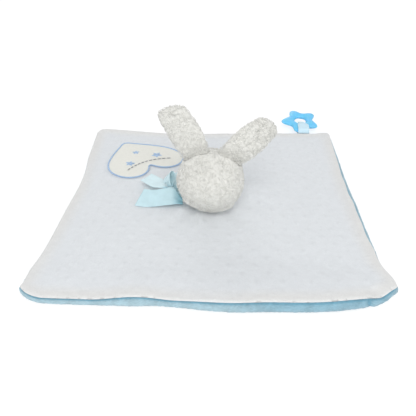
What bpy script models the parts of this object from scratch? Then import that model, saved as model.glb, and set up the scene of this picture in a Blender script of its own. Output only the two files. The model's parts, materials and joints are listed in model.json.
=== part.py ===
"""A baby's comfort blanket: two square fabric panels, a bunny's head on a short neck in the middle,
a satin bow, a sewn heart and a star-shaped teether in a ribbon loop.

Lengths are in metres and angles in degrees. +X is right, +Y is the way the bunny looks, +Z is up.
The origin is the middle of the blanket's underside, on the surface that it lies on.
"""

from math import acos, asin, cos, degrees, pi, radians, sin, sqrt

import bmesh
import bpy
import numpy as np

# Clearances and fineness
GAP = 0.0003
MERGE_DISTANCE = 0.00001
SHARP_ANGLE = 50.0
EDGE_THREAD_SIDES = 5
THREAD_SIDES = 6

# Blanket
BLANKET_WIDTH = 0.293
BLANKET_DEPTH = 0.310
BLANKET_MIDDLE_Y = 0.0015
CORNER_RADIUS = 0.020
CORNER_SHARE = 4 / 15
# How far the seam lies outside a plain rounded rectangle, as shares of OUT_REACH, at shares of the way round
OUT_REACH = 0.010
OUT_PLACE_SHARES = (0.0, 0.007, 0.02, 0.033, 0.052, 0.075, 0.101, 0.117, 0.132, 0.146, 0.158, 0.172, 0.19,
                    0.205, 0.219, 0.23, 0.238, 0.25, 0.266, 0.282, 0.303, 0.3165, 0.3225, 0.331, 0.338,
                    0.35, 0.362, 0.375, 0.39, 0.4, 0.412, 0.425, 0.44, 0.455, 0.47, 0.496, 0.5167, 0.535,
                    0.545, 0.556, 0.575, 0.6, 0.63, 0.66, 0.7, 0.716, 0.74, 0.759, 0.773, 0.785, 0.795,
                    0.822, 0.853, 0.874, 0.894, 0.926, 0.952, 0.975, 0.989)
OUT_SHARES = (0.0, 0.08, -0.12, -0.28, -0.4, -0.33, -0.19, -0.08, -0.22, -0.08, 0.14, 0.3, 0.27,
              0.28, 0.21, 0.09, -0.08, -0.43, -0.6, -0.62, -0.4, 0.02, 0.0, -0.34, -0.48,
              -0.45, -0.6, -0.57, -0.6, -0.53, -0.62, -0.5, -0.5, -0.37, -0.26, 0.0, 0.25, 0.86,
              0.55, 0.1, -0.02, -0.05, -0.35, -0.5, -0.4, -0.12, 0.3, 0.65, 0.95, 0.7, 0.3,
              -0.06, -0.42, -0.78, -0.9, -0.7, -0.5, -0.3, -0.05)
EDGE_WAVE = 0.0004
EDGE_WAVE_COUNT = 7
EDGE_RIPPLE_COUNT = 13
EDGE_RIPPLE_SHARE = 0.6
EDGE_RIPPLE_PLACE_SHARE = 0.2
BACKING_THICKNESS = 0.0024
# How far the backing bulges beyond the seam, as shares of BACKING_BULGE, at shares of the way round
BACKING_BULGE = 0.0040
BULGE_PLACE_SHARES = (0.0, 0.03, 0.3, 0.331, 0.35, 0.362, 0.375, 0.39, 0.4, 0.412, 0.425, 0.44, 0.455,
                      0.47, 0.496, 0.53, 0.75, 0.95)
BULGE_SHARES = (0.2, 0.4, 0.4, 0.15, 0.38, 0.75, 0.62, 0.85, 0.75, 1.0, 0.72, 0.8, 0.62,
                0.5, 0.3, 0.12, 0.1, 0.08)
TOP_THICKNESS = 0.0020
RIM_WIDTH = 0.012
RIM_ROLL = 0.0024
SEAM_INSET = 0.003
SEAM_HEIGHT = 0.0043
SEAM_LIFT = 0.0050
SEAM_THREAD_RADIUS = 0.0004
SIDE_STEPS = 12
CORNER_STEPS = 5
# The top panel's rim, from the seam inwards: share of the rim's width, of its roll, and of the seam's height
TOP_RIM_SHARES = ((0.0, 0.46, 1.0), (0.1, 0.85, 1.0), (0.25, 1.0, 1.0), (0.6, 1.5, 0.5), (1.0, 0.0, 0.0))
# The panel's further rings: their shares of the way from the rim to the neck
TOP_RING_SHARES = (0.3, 0.55, 0.72, 0.83, 0.9, 0.955, 1.0)
TOP_THICK_RINGS = 3
# The backing's edge, from below upwards: share of the rim's width or of the bulge, and of the seam's height
BACKING_EDGE_SHARES = ((0.55, 0.0, 0.0), (0.12, 0.0, 0.1), (0.0, 1.0, 0.42), (0.0, 0.8, 0.75))
# How far the seam rises, as shares of SEAM_LIFT, at shares of the way round from the front left corner
LIFT_PLACE_SHARES = (0.0, 0.073, 0.097, 0.118, 0.136, 0.158, 0.187, 0.218, 0.235, 0.262, 0.3, 0.345,
                     0.39, 0.45, 0.5, 0.56, 0.6, 0.65, 0.7, 0.75, 0.8, 0.88, 0.95)
LIFT_SHARES = (0.0, 0.0, 0.05, 0.8, 0.15, 0.6, 0.9, 0.9, 1.0, 0.25, 0.45, 0.15,
               0.4, 0.15, 0.25, 0.0, 0.0, 0.25, 0.1, 0.3, 0.05, 0.2, 0.05)

# Neck
NECK_Y = -0.004
NECK_RISE = 0.0012
COLLAR_RADIUS = 0.013
GATHER_RADIUS = 0.045
GATHER_DEPTH = 0.0009
GATHER_COUNT = 10
NECK_RADIUS = 0.0050
NECK_WALL = 0.0012
NECK_BALL_RADIUS = 0.0068
NECK_BALL_CLEARANCE = 0.0005
NECK_PIVOT_HEIGHT = 0.0113
NECK_ALLOWANCE_RADIUS = 0.012
NECK_ALLOWANCE_THICKNESS = 0.0008
NECK_STITCH_RADIUS = 0.010
NECK_THREAD_RADIUS = 0.00035
NECK_SEGMENTS = 18
NECK_BALL_STEPS = 6

# Head
HEAD_WIDTH = 0.0636
HEAD_DEPTH = 0.0610
HEAD_HEIGHT = 0.0590
HEAD_REACH = 0.0320
HEAD_LEAN = 36.0
HEAD_TILT = 14.0
HEAD_ROLL = 6.0
HEAD_PLUSH = 0.0018
GUSSET_WIDTH = 0.022
SEAM_GROOVE = 0.0006
SEAM_GROOVE_ANGLE = 4.0
MUZZLE_OUT = 0.0045
MUZZLE_ANGLE = -14.0
MUZZLE_SPREAD = 24.0
NECK_DRAW_IN = 0.0030
NECK_SPREAD = 22.0

HEAD_NORMAL_STEP = 1.0
HEAD_SPOKES = 32
GUSSET_STEPS = 6
HEAD_SIDE_SHARES = (0.09, 0.26, 0.44, 0.63, 0.82, 1.0)

# Face
EYE_SIDE_ANGLE = 24.0
EYE_UP_ANGLE = 10.0
EYE_WIDTH = 0.0075
EYE_DROP = 0.0022
FACE_THREAD_RADIUS = 0.0006
NOSE_WIDTH = 0.0075
NOSE_HEIGHT = 0.0050
NOSE_THICKNESS = 0.0016
NOSE_UP_ANGLE = -6.0
MOUTH_WIDTH = 0.0090
MOUTH_DROP = 0.0022
MOUTH_ANGLE = -21.0
FACE_STITCH_STEPS = 8
NOSE_RINGS = 6
NOSE_SEGMENTS = 12

# Ears
EAR_LENGTH = 0.0500
EAR_WIDTH = 0.0290
EAR_THICKNESS = 0.0100
EAR_PLUSH = 0.0010
EAR_HINGE_HEIGHT = 0.0036
EAR_ROOT_DEPTH = 0.0028
EAR_ROOT_PINCH_SHARE = 0.5
EAR_SIDE_ANGLE = 31.0
EAR_FORWARD_ANGLE = 10.0
EAR_LEAN = 12.5
EAR_LEFT_SLANT = -7.0
EAR_RIGHT_SLANT = 16.0
EAR_SLANT_SHARE = 0.45
EAR_SAG_SHARE = 0.5
EAR_PLACE_SHARES = (0.0, 0.12, 0.28, 0.45, 0.62, 0.77, 0.88, 0.96, 1.0)
EAR_WIDTH_SHARES = (0.80, 0.92, 1.0, 0.99, 0.93, 0.82, 0.65, 0.40, 0.0)
EAR_THICKNESS_SHARES = (0.60, 0.75, 0.96, 1.0, 0.96, 0.84, 0.66, 0.40, 0.0)
EAR_STEPS = 10
EAR_SPLIT_ANGLE = 0.001

# Ribbon
RIBBON_WIDTH = 0.019
RIBBON_THICKNESS = 0.0007
BAND_HEIGHT = 0.0032
BAND_SPREAD_HEIGHT = 0.0095
BAND_RISE = 0.0026
BAND_BELLY = 0.0085
BAND_WRAP_ANGLE = 105.0
BAND_WRAP_STEPS = 8
# The far run to the knot: shares of the way out, of the near end's offset, and of the knot's height
FAR_RUN_SHARES = ((0.75, 1.2), (1.0, 1.0))
# The near run, from the knot back: shares of the way out, of the belly's offset, and of the spread height
NEAR_RUN_SHARES = ((0.8, 1.0), (0.62, 1.2))
RUN_HEIGHT_SHARE = 0.6
RUN_OFFSET_SHARE = 0.25
FAR_LEAVE_SHARES = (0.45, 0.8)
NEAR_LEAVE_SHARES = (0.38, 1.2)
KNOT_OUT = 0.0395
KNOT_HEIGHT = 0.0142
KNOT_LENGTH = 0.0080
KNOT_DEPTH = 0.0095
KNOT_THICKNESS = 0.0075
KNOT_RINGS = 8
KNOT_SEGMENTS = 14
FRONT_TAIL_LENGTH = 0.0340
FRONT_TAIL_CUT = 0.0080
FRONT_TAIL_Y = -0.0151
FRONT_TAIL_EDGE_HEIGHT = 0.0080
FRONT_TAIL_LEAN = 60.0
FRONT_TAIL_WAVE = 0.0012
FRONT_TAIL_ROOT_SHARE = 0.94
REAR_TAIL_LENGTH = 0.0365
REAR_TAIL_CUT = 0.0060
REAR_TAIL_HEADING = 134.0
REAR_TAIL_END_HEIGHT = 0.0125
REAR_TAIL_DIP = 32.0
REAR_TAIL_ROOT_SHARE = 0.3
NEAR_LOOP_LENGTH = 0.0118
NEAR_LOOP_BULGE = 0.0034
NEAR_LOOP_HEADING = 112.0
NEAR_LOOP_RISE = 70.0
NEAR_LOOP_ACROSS_HEADING = 128.0
FAR_LOOP_LENGTH = 0.0215
FAR_LOOP_BULGE = 0.0040
FAR_LOOP_HEADING = 62.0
FAR_LOOP_RISE = 3.0
FAR_LOOP_ROLL = 20.0
LOOP_PINCH_SHARE = 0.36
LOOP_PINCH_REACH_SHARE = 0.7
LOOP_ROOT_BULGE_SHARE = 0.35
TAIL_OPENING_SHARE = 0.4
TAIL_STEPS = 8
LOOP_STEPS = 14

# Heart patch
HEART_SIDE_INSET = 0.0650
HEART_FAR_INSET = 0.0709
HEART_WIDTH = 0.0885
HEART_LENGTH = 0.0980
HEART_TIP_HEADING = 124.0
PATCH_THICKNESS = 0.0010
BORDER_WIDTH = 0.0024
BORDER_THICKNESS = 0.0015
HEART_ROUNDING = 0.024
# The heart curve along its length: how much of the wave with 1, 2, 3 and 4 crests it holds
HEART_WAVE_SHARES = (13 / 29, -5 / 29, -2 / 29, -1 / 29)
# The heart's tip, blunted: how far it is drawn back, and over how much of the length, in shares of it
HEART_TIP_BACK_SHARE = 0.05
HEART_TIP_REACH_SHARE = 0.12
HEART_FINE_STEPS = 288
HEART_STEPS = 48
STAR_RADIUS = 0.0065
STAR_POINTS = 5
STAR_WAIST_SHARE = 0.5
STAR_THICKNESS = 0.0006
# Star centres and turns: across the heart as a share of its width, along it as a share of its length, degrees
STAR_PLACES_SHARES = ((-0.20, 0.08), (0.20, 0.05), (0.0, -0.14))
STAR_SIZE_SHARES = (0.85, 1.0, 0.7)
STAR_TURNS = (10.0, -12.0, 24.0)
STITCH_COUNT = 11
STITCH_RADIUS = 0.0005
STITCH_PINCH_SHARE = 0.6
STITCH_ROW_WIDTH_SHARE = 0.62
STITCH_ROW_SAG_SHARE = 0.08
STITCH_ROW_PLACE_SHARE = 0.22

# Teether
TEETHER_REACH = 0.0243
TEETHER_VALLEY = 0.0160
TEETHER_HOLE_RADIUS = 0.0074
TEETHER_THICKNESS = 0.0064
TEETHER_TIP_THICKNESS_SHARE = 0.72
TEETHER_ARMS = 5
TEETHER_ARM_HEADING = 39.5
TEETHER_ARM_SHARPNESS = 1.3
TEETHER_ROUNDNESS = 2.3
TEETHER_TILT = 12.0
TEETHER_SPOKES = 60
TEETHER_RING_STEPS = 12
LOOP_SIDE_INSET = 0.0301
TEETHER_OFFSET = -0.0018
LOOP_TO_TEETHER = 0.0266
LOOP_WIDTH = 0.0140
LOOP_HOLE_WIDTH = 0.0070
LOOP_THICKNESS = 0.0008
LOOP_CLEARANCE = 0.0008
LOOP_TONGUE = 0.0014
LOOP_LIFT = 0.0009
LOOP_NARROWING_SHARE = 0.7
# The loop's upper run: from the hinge, from its root and back from its far end, in shares of its half height,
# each with the share of the half height that it rises to
LOOP_START_SHARES = ((0.0, 0.0), (0.06, 0.16))
LOOP_ROOT_SHARES = ((0.0, 0.2), (0.25, 0.7), (0.8, 1.0))
LOOP_END_SHARES = ((0.9, 1.0), (0.3, 0.86), (0.06, 0.5), (0.0, 0.0))

# Finishes: sRGB colour and roughness
FINISHES = {
    "white_minky": ((220, 224, 227), 0.95),
    "blue_plush": ((160, 194, 216), 0.95),
    "white_curly_plush": ((227, 228, 224), 0.98),
    "white_fabric": ((226, 227, 225), 0.9),
    "patch_fabric": ((224, 225, 220), 0.9),
    "blue_satin_stitch": ((176, 199, 228), 0.5),
    "blue_satin": ((200, 231, 238), 0.4),
    "pale_loop_ribbon": ((208, 234, 243), 0.45),
    "sky_blue_silicone": ((113, 205, 248), 0.45),
    "stuffing": ((240, 240, 238), 1.0),
    "white_thread": ((235, 235, 233), 0.7),
    "grey_thread": ((120, 122, 128), 0.7),
    "pink_thread": ((226, 178, 178), 0.6),
}


def unit(vectors):
    """The same directions with length one."""
    vectors = np.asarray(vectors, float)
    return vectors / np.linalg.norm(vectors, axis=-1, keepdims=True)


def smooth(share):
    """A step from 0 to 1 with a soft start and end."""
    share = np.clip(share, 0, 1)
    return share * share * (3 - 2 * share)


def turned(vector, axis, angle):
    """A vector turned about an axis by the right-hand rule."""
    vector, axis = np.asarray(vector, float), unit(axis)
    c, s = cos(radians(angle)), sin(radians(angle))
    return vector * c + np.cross(axis, vector) * s + axis * np.dot(axis, vector) * (1 - c)


def heading(angle, rise=0.0):
    """The direction at an angle from +X towards +Y, raised by an angle."""
    a, r = radians(angle), radians(rise)
    return np.array([cos(a) * cos(r), sin(a) * cos(r), sin(r)])


def linear(channel):
    """One sRGB channel, 0 to 255, as linear light."""
    value = channel / 255
    return value / 12.92 if value <= 0.04045 else ((value + 0.055) / 1.055) ** 2.4


def finish_material(finish):
    """The Principled material of one finish, made once."""
    material = bpy.data.materials.get(finish)
    if material is None:
        colour, roughness = FINISHES[finish]
        material = bpy.data.materials.new(finish)
        material.use_nodes = True
        shader = material.node_tree.nodes["Principled BSDF"]
        shader.inputs["Base Color"].default_value = (*map(linear, colour), 1)
        shader.inputs["Roughness"].default_value = roughness
        shader.inputs["Metallic"].default_value = 0
    return material


pivots = {}


def add_pivot(name, place, parent=None):
    """An empty on a joint's axis, which carries the pieces that turn about it."""
    empty = bpy.data.objects.new(name, None)
    bpy.context.collection.objects.link(empty)
    place = np.asarray(place, float)
    if parent:
        empty.parent = pivots[parent][0]
        empty.location = place - pivots[parent][1]
    else:
        empty.location = place
    pivots[name] = (empty, place)


def add_solid(name, points, faces, finish, pivot=None):
    """One closed body from points in the blanket's frame, with its faces turned outwards."""
    base = pivots[pivot][1] if pivot else np.zeros(3)
    mesh = bpy.data.meshes.new(name)
    mesh.from_pydata((np.asarray(points) - base).tolist(), [], faces)
    work = bmesh.new()
    work.from_mesh(mesh)
    bmesh.ops.remove_doubles(work, verts=work.verts, dist=MERGE_DISTANCE)
    bmesh.ops.recalc_face_normals(work, faces=work.faces)
    work.to_mesh(mesh)
    work.free()
    mesh.shade_smooth()
    mesh.set_sharp_from_angle(angle=radians(SHARP_ANGLE))
    mesh.materials.append(finish_material(finish))
    solid = bpy.data.objects.new(name, mesh)
    bpy.context.collection.objects.link(solid)
    if pivot:
        solid.parent = pivots[pivot][0]
    return solid


def grid_faces(rows, columns, start=0, wrap_rows=False, wrap_columns=False, halved=False):
    """The quads between the points of a grid that is stored row by row, or each quad's two halves."""
    faces = []
    for row in range(rows if wrap_rows else rows - 1):
        for column in range(columns if wrap_columns else columns - 1):
            here, there = start + row * columns, start + (row + 1) % rows * columns
            after = (column + 1) % columns
            if halved:
                faces.append((here + column, here + after, there + after))
                faces.append((here + column, there + after, there + column))
            else:
                faces.append((here + column, here + after, there + after, there + column))
    return faces


def add_slab(name, outer, inner, finish, pivot=None, wrap_rows=False, wrap_columns=False):
    """A body between two grids of the same size, walled along each open border that isn't a single point."""
    rows, columns = outer.shape[:2]
    offset = rows * columns
    faces = grid_faces(rows, columns, 0, wrap_rows, wrap_columns)
    faces += grid_faces(rows, columns, offset, wrap_rows, wrap_columns)
    if not wrap_rows:
        for row in (0, rows - 1):
            if np.ptp(outer[row], axis=0).max() > MERGE_DISTANCE:
                for column in range(columns if wrap_columns else columns - 1):
                    a, b = row * columns + column, row * columns + (column + 1) % columns
                    faces.append((a, b, b + offset, a + offset))
    if not wrap_columns:
        for column in (0, columns - 1):
            for row in range(rows if wrap_rows else rows - 1):
                a, b = row * columns + column, (row + 1) % rows * columns + column
                faces.append((a, b, b + offset, a + offset))
    points = np.concatenate([outer.reshape(-1, 3), inner.reshape(-1, 3)])
    return add_solid(name, points, faces, finish, pivot)


def add_loft(name, rings, finish, pivot=None, wrap_rows=False, halved=False):
    """A body skinned over closed rings; an open end is capped, or already a single point."""
    rings = np.asarray(rings, float)
    rows, columns = rings.shape[:2]
    faces = grid_faces(rows, columns, 0, wrap_rows, True, halved)
    if not wrap_rows:
        for row in (0, rows - 1):
            if np.ptp(rings[row], axis=0).max() > MERGE_DISTANCE:
                faces.append(tuple(row * columns + column for column in range(columns)))
    return add_solid(name, rings.reshape(-1, 3), faces, finish, pivot)


def closed_tube(path, radius, sides, up=(0, 0, 1), flat=1.0):
    """Rings round a closed path, each in the plane of its point's sideways and up directions."""
    path = np.asarray(path, float)
    along = unit(np.roll(path, -1, axis=0) - np.roll(path, 1, axis=0))
    side = unit(np.cross(along, up))
    rise = np.cross(side, along)
    turn = np.arange(sides) * 2 * pi / sides + pi / sides
    across = side[:, None] * (np.cos(turn) * radius)[None, :, None]
    return path[:, None] + across + rise[:, None] * (np.sin(turn) * radius * flat)[None, :, None]


def open_tube(path, radius, sides):
    """Rings round an open path, square to it, without a twist."""
    path = np.asarray(path, float)
    along = unit(np.gradient(path, axis=0))
    square = np.cross(path[-1] - path[0], path[len(path) // 2] - path[0]) + (0, 0, MERGE_DISTANCE)
    side = unit(np.cross(along, square))
    rise = np.cross(side, along)
    turn = np.arange(sides) * 2 * pi / sides
    return path[:, None] + radius * (side[:, None] * np.cos(turn)[None, :, None]
                                     + rise[:, None] * np.sin(turn)[None, :, None])


def ribbon_grids(path, across, thickness, wrap=False):
    """The two faces of a ribbon: its middle line, and the half-width vector at each point."""
    path, across = np.asarray(path, float), np.asarray(across, float)
    if wrap:
        along = unit(np.roll(path, -1, axis=0) - np.roll(path, 1, axis=0))
    else:
        along = unit(np.gradient(path, axis=0))
    face = unit(np.cross(along, across)) * thickness / 2
    edges = np.stack([path - across, path + across], axis=1)
    return edges + face[:, None], edges - face[:, None]


def blanket_outline():
    """The seam's points in plan, their inward directions and their shares of the way round."""
    half = np.array([BLANKET_WIDTH, BLANKET_DEPTH]) / 2 - CORNER_RADIUS
    signs = ((-1, -1), (1, -1), (1, 1), (-1, 1))
    points, outwards, places = [], [], []
    for quarter, sign in enumerate(signs):
        centre, end = half * sign, half * signs[(quarter + 1) % 4]
        for step in range(CORNER_STEPS):
            share = (step + 0.5) / CORNER_STEPS
            outwards.append(heading(180 + 90 * (quarter + share))[:2])
            points.append(centre)
            places.append((quarter + CORNER_SHARE * share) / 4)
        for step in range(SIDE_STEPS):
            share = (step + 0.5) / SIDE_STEPS
            outwards.append(heading(270 + 90 * quarter)[:2])
            points.append(centre + (end - centre) * share)
            places.append((quarter + CORNER_SHARE + (1 - CORNER_SHARE) * share) / 4)
    outwards, places = np.array(outwards), np.array(places)
    out = CORNER_RADIUS + OUT_REACH * np.interp(places, OUT_PLACE_SHARES, OUT_SHARES, period=1)
    ripple = np.sin(2 * pi * (EDGE_RIPPLE_COUNT * places + EDGE_RIPPLE_PLACE_SHARE))
    out += EDGE_WAVE * (np.sin(2 * pi * EDGE_WAVE_COUNT * places) + EDGE_RIPPLE_SHARE * ripple)
    return np.array(points) + (0, BLANKET_MIDDLE_Y) + outwards * out[:, None], -outwards, places


def seam_heights(places):
    """The height of the seam between the two panels, all round."""
    return SEAM_HEIGHT + SEAM_LIFT * np.interp(places, LIFT_PLACE_SHARES, LIFT_SHARES, period=1)


def sheet_plan(inset, share, hole_radius):
    """A ring of the sheets in plan: inset from the seam, then drawn towards a circle round the neck."""
    outline, inwards, places = blanket_outline()
    rim = outline + inwards * np.reshape(inset, (-1, 1))
    angles = 2 * pi * (places - CORNER_SHARE / 8) + radians(225)
    circle = np.stack([np.cos(angles), np.sin(angles)], axis=1) * hole_radius + (0, NECK_Y)
    return rim * (1 - share) + circle * share


def top_panel_height(plan):
    """How far the top panel rises at points in plan: the collar and the gathers round the neck."""
    offset = plan - (0, NECK_Y)
    distance = np.hypot(offset[..., 0], offset[..., 1])
    turn = np.arctan2(offset[..., 1], offset[..., 0])
    collar = NECK_RISE * (1 - smooth((distance - COLLAR_RADIUS) / COLLAR_RADIUS))
    ridge = smooth((distance - COLLAR_RADIUS) / COLLAR_RADIUS) * (1 - smooth(distance / GATHER_RADIUS))
    return collar + GATHER_DEPTH * ridge * (1 + np.cos(GATHER_COUNT * turn))


def with_height(plan, height):
    """Points in plan raised to a height."""
    return np.concatenate([plan, np.broadcast_to(np.reshape(height, (-1, 1)), (len(plan), 1))], axis=1)


def add_blanket():
    """The two panels, which share their plan rings, and the thread that joins them."""
    add_top_panel()
    add_backing()
    path = with_height(sheet_plan(SEAM_INSET, 0, 0), seam_heights(blanket_outline()[2]))
    thread = closed_tube(path, SEAM_THREAD_RADIUS, EDGE_THREAD_SIDES)
    add_loft("edge_seam_thread", thread, "white_thread", wrap_rows=True)


def add_top_panel():
    """The top panel: a rolled rim, gathers round the neck, and an underside that follows them."""
    seam = seam_heights(blanket_outline()[2])
    hole = NECK_RADIUS + GAP
    level = BACKING_THICKNESS + GAP + TOP_THICKNESS
    rings = []
    for inset, roll, by_seam in TOP_RIM_SHARES:
        height = by_seam * (seam + roll * RIM_ROLL) + (1 - by_seam) * level
        rings.append(with_height(sheet_plan(RIM_WIDTH * inset, 0, hole), height))
    for share in TOP_RING_SHARES:
        plan = sheet_plan(RIM_WIDTH, share, hole)
        rings.append(with_height(plan, level + top_panel_height(plan)))
    for share in TOP_RING_SHARES[:-TOP_THICK_RINGS - 1:-1]:
        plan = sheet_plan(RIM_WIDTH, share, hole)
        rings.append(with_height(plan, level - TOP_THICKNESS + top_panel_height(plan)))
    rings.append(with_height(sheet_plan(RIM_WIDTH, 0, hole), level - TOP_THICKNESS))
    rings.append(with_height(sheet_plan(SEAM_INSET, 0, hole), seam + SEAM_THREAD_RADIUS + GAP))
    rings.append(with_height(sheet_plan(0, 0, hole), seam + GAP / 2))
    add_loft("blanket_top", rings[::-1], "white_minky", wrap_rows=True, halved=True)


def add_backing():
    """The backing: flat below, bulging out beyond the seam, then flat again under the top panel."""
    places = blanket_outline()[2]
    seam = seam_heights(places)
    bulge = BACKING_BULGE * np.interp(places, BULGE_PLACE_SHARES, BULGE_SHARES, period=1)
    cap = with_height(sheet_plan(RIM_WIDTH, 1, GATHER_RADIUS), 0)
    centre = np.broadcast_to(np.array([0, NECK_Y - GATHER_RADIUS / 2, 0]), cap.shape)
    up = np.array([0, 0, BACKING_THICKNESS])
    rings = [centre, cap]
    for inset, out, height in BACKING_EDGE_SHARES:
        rings.append(with_height(sheet_plan(RIM_WIDTH * inset - bulge * out, 0, 0), seam * height))
    rings += [with_height(sheet_plan(0, 0, 0), seam - GAP / 2),
              with_height(sheet_plan(SEAM_INSET, 0, 0), seam - SEAM_THREAD_RADIUS - GAP),
              with_height(sheet_plan(RIM_WIDTH, 0, 0), BACKING_THICKNESS), cap + up, centre + up]
    add_loft("blanket_backing", rings, "blue_plush", halved=True)


def heart_plan(inset):
    """The heart's outline in plan: the heart curve, its tip and cleft rounded, drawn in by an inset."""
    turn = np.arange(4 * HEART_FINE_STEPS) * 2 * pi / (4 * HEART_FINE_STEPS)
    along = sum(share * np.cos(crests * turn) for crests, share in enumerate(HEART_WAVE_SHARES, 1))
    from_tip = (along - along.min()) / HEART_TIP_REACH_SHARE
    curve = heart_place(np.sin(turn) ** 3 / 2, along + HEART_TIP_BACK_SHARE * np.exp(-from_tip ** 2))
    closed = np.concatenate([curve, curve[:1]])
    walked = np.concatenate([[0], np.cumsum(np.linalg.norm(np.diff(closed, axis=0), axis=1))])
    even = np.arange(HEART_FINE_STEPS) * walked[-1] / HEART_FINE_STEPS
    plan = np.stack([np.interp(even, walked, closed[:, axis]) for axis in (0, 1)], axis=1)
    half = int(HEART_ROUNDING / walked[-1] * HEART_FINE_STEPS / 2)
    plan = np.mean([np.roll(plan, shift, axis=0) for shift in range(-half, half + 1)], axis=0)
    tangent = unit(np.roll(plan, -1, axis=0) - np.roll(plan, 1, axis=0))
    inward = np.stack([-tangent[:, 1], tangent[:, 0]], axis=1)
    return (plan + inward * inset)[::HEART_FINE_STEPS // HEART_STEPS]


def heart_place(across_share, along_share):
    """Places on the patch, as shares of its width and length from the heart curve's middle."""
    lobes = -heading(HEART_TIP_HEADING)[:2]
    side = np.array([-lobes[1], lobes[0]])
    across = np.multiply.outer(across_share, side) * HEART_WIDTH
    corner = np.array([-BLANKET_WIDTH / 2 + HEART_SIDE_INSET, BLANKET_DEPTH / 2 - HEART_FAR_INSET])
    return corner + across + np.multiply.outer(along_share, lobes) * HEART_LENGTH


def add_patch():
    """The heart, its satin-stitch border, and a plain motif of stars over a row of running stitches."""
    level = BACKING_THICKNESS + GAP + TOP_THICKNESS + GAP
    face = level + PATCH_THICKNESS
    inner = heart_plan(BORDER_WIDTH / 2 + GAP)
    core = inner.mean(axis=0)
    rings = [with_height(core + (inner - core) * share, height)
             for share, height in ((0, level), (1, level), (1, face), (0, face))]
    add_loft("heart_patch", rings, "patch_fabric")

    path = with_height(heart_plan(0), level + BORDER_THICKNESS / 2)
    border = closed_tube(path, BORDER_WIDTH / 2, THREAD_SIDES, flat=BORDER_THICKNESS / BORDER_WIDTH)
    add_loft("patch_border", border, "blue_satin_stitch", wrap_rows=True)
    add_stars(face + GAP)
    add_stitch_row(face + GAP)


def add_stars(base):
    """Three plain stars that lie on the patch."""
    corners = np.arange(2 * STAR_POINTS)
    for number, (place, size, turn) in enumerate(zip(STAR_PLACES_SHARES, STAR_SIZE_SHARES, STAR_TURNS), 1):
        angles = radians(turn) + corners * pi / STAR_POINTS
        reach = STAR_RADIUS * size * np.where(corners % 2, STAR_WAIST_SHARE, 1)
        plan = heart_place(*place) + np.stack([np.cos(angles), np.sin(angles)], axis=1) * reach[:, None]
        add_prism(f"patch_star_{number}", plan, base, STAR_THICKNESS, "blue_satin_stitch")


def add_stitch_row(base):
    """A sagging row of running stitches: one thread, pinched between its stitches."""
    row = np.arange(2 * STITCH_COUNT + 1) / (2 * STITCH_COUNT) - 0.5
    sag = STITCH_ROW_SAG_SHARE * (1 - (2 * row) ** 2)
    plan = heart_place(STITCH_ROW_WIDTH_SHARE * row, STITCH_ROW_PLACE_SHARE - sag)
    radius = STITCH_RADIUS * np.where(np.arange(len(row)) % 2, 1, STITCH_PINCH_SHARE)
    path = with_height(plan, base + STITCH_RADIUS)
    add_loft("patch_stitch_row", open_tube(path, radius[:, None, None], THREAD_SIDES), "grey_thread")


def add_prism(name, plan, base, height, finish):
    """An upright prism on an outline in plan."""
    count = len(plan)
    faces = [tuple(range(count)), tuple(range(count, 2 * count))] + grid_faces(2, count, 0, False, True)
    points = np.concatenate([with_height(plan, base), with_height(plan, base + height)])
    add_solid(name, points, faces, finish)


def turned_rings(profile, centre):
    """Rings of a turned piece from its profile of radius and height, about an upright axis."""
    turn = np.arange(NECK_SEGMENTS) * 2 * pi / NECK_SEGMENTS
    circle = np.stack([np.cos(turn), np.sin(turn), np.zeros(NECK_SEGMENTS)], axis=1)
    return np.array([circle * radius + (centre[0], centre[1], height) for radius, height in profile])


def neck_profile(inset, foot):
    """The neck's outline: a straight column, then a ball round the head's pivot, drawn in by an inset."""
    ball, column = NECK_BALL_RADIUS - inset, NECK_RADIUS - inset
    below = acos(column / ball)
    rows = [(column, foot), (column, NECK_PIVOT_HEIGHT - ball * sin(below))]
    for step in range(NECK_BALL_STEPS + 1):
        angle = -below / 2 + (pi / 2 + below / 2) * step / NECK_BALL_STEPS
        radius = ball * cos(angle) if step < NECK_BALL_STEPS else 0
        rows.append((radius, NECK_PIVOT_HEIGHT + ball * sin(angle)))
    return rows


def add_neck():
    """The fabric neck with its seam allowance under the top panel, its stuffing and the thread round it."""
    centre = pivots["neck_swivel_axis"][1]
    floor = BACKING_THICKNESS + GAP
    allowance = [(NECK_ALLOWANCE_RADIUS, floor), (NECK_ALLOWANCE_RADIUS, floor + NECK_ALLOWANCE_THICKNESS)]
    outer = allowance + neck_profile(0, floor + NECK_ALLOWANCE_THICKNESS)
    bore = NECK_RADIUS - NECK_WALL
    inner = [(bore, floor), (bore, floor + NECK_ALLOWANCE_THICKNESS / 2)]
    inner += neck_profile(NECK_WALL, floor + NECK_ALLOWANCE_THICKNESS)
    add_slab("neck_tube", turned_rings(outer, centre), turned_rings(inner, centre), "white_fabric",
             "neck_swivel_axis", wrap_columns=True)
    core = neck_profile(NECK_WALL + GAP, floor)
    add_loft("neck_filling", turned_rings(core, centre), "stuffing", "neck_swivel_axis")
    turn = np.arange(NECK_SEGMENTS) * 2 * pi / NECK_SEGMENTS
    height = BACKING_THICKNESS + GAP + TOP_THICKNESS + NECK_RISE + GAP + NECK_THREAD_RADIUS
    path = np.stack([NECK_STITCH_RADIUS * np.cos(turn), NECK_Y + NECK_STITCH_RADIUS * np.sin(turn),
                     np.full(NECK_SEGMENTS, height)], axis=1)
    thread = closed_tube(path, NECK_THREAD_RADIUS, THREAD_SIDES)
    add_loft("neck_stitching", thread, "white_thread", wrap_rows=True)


def head_centre():
    """The middle of the head: above the neck's pivot, along the lean."""
    return pivots["head_nod_axis"][1] + turned((0, 0, HEAD_REACH), (1, 0, 0), HEAD_LEAN)


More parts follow.
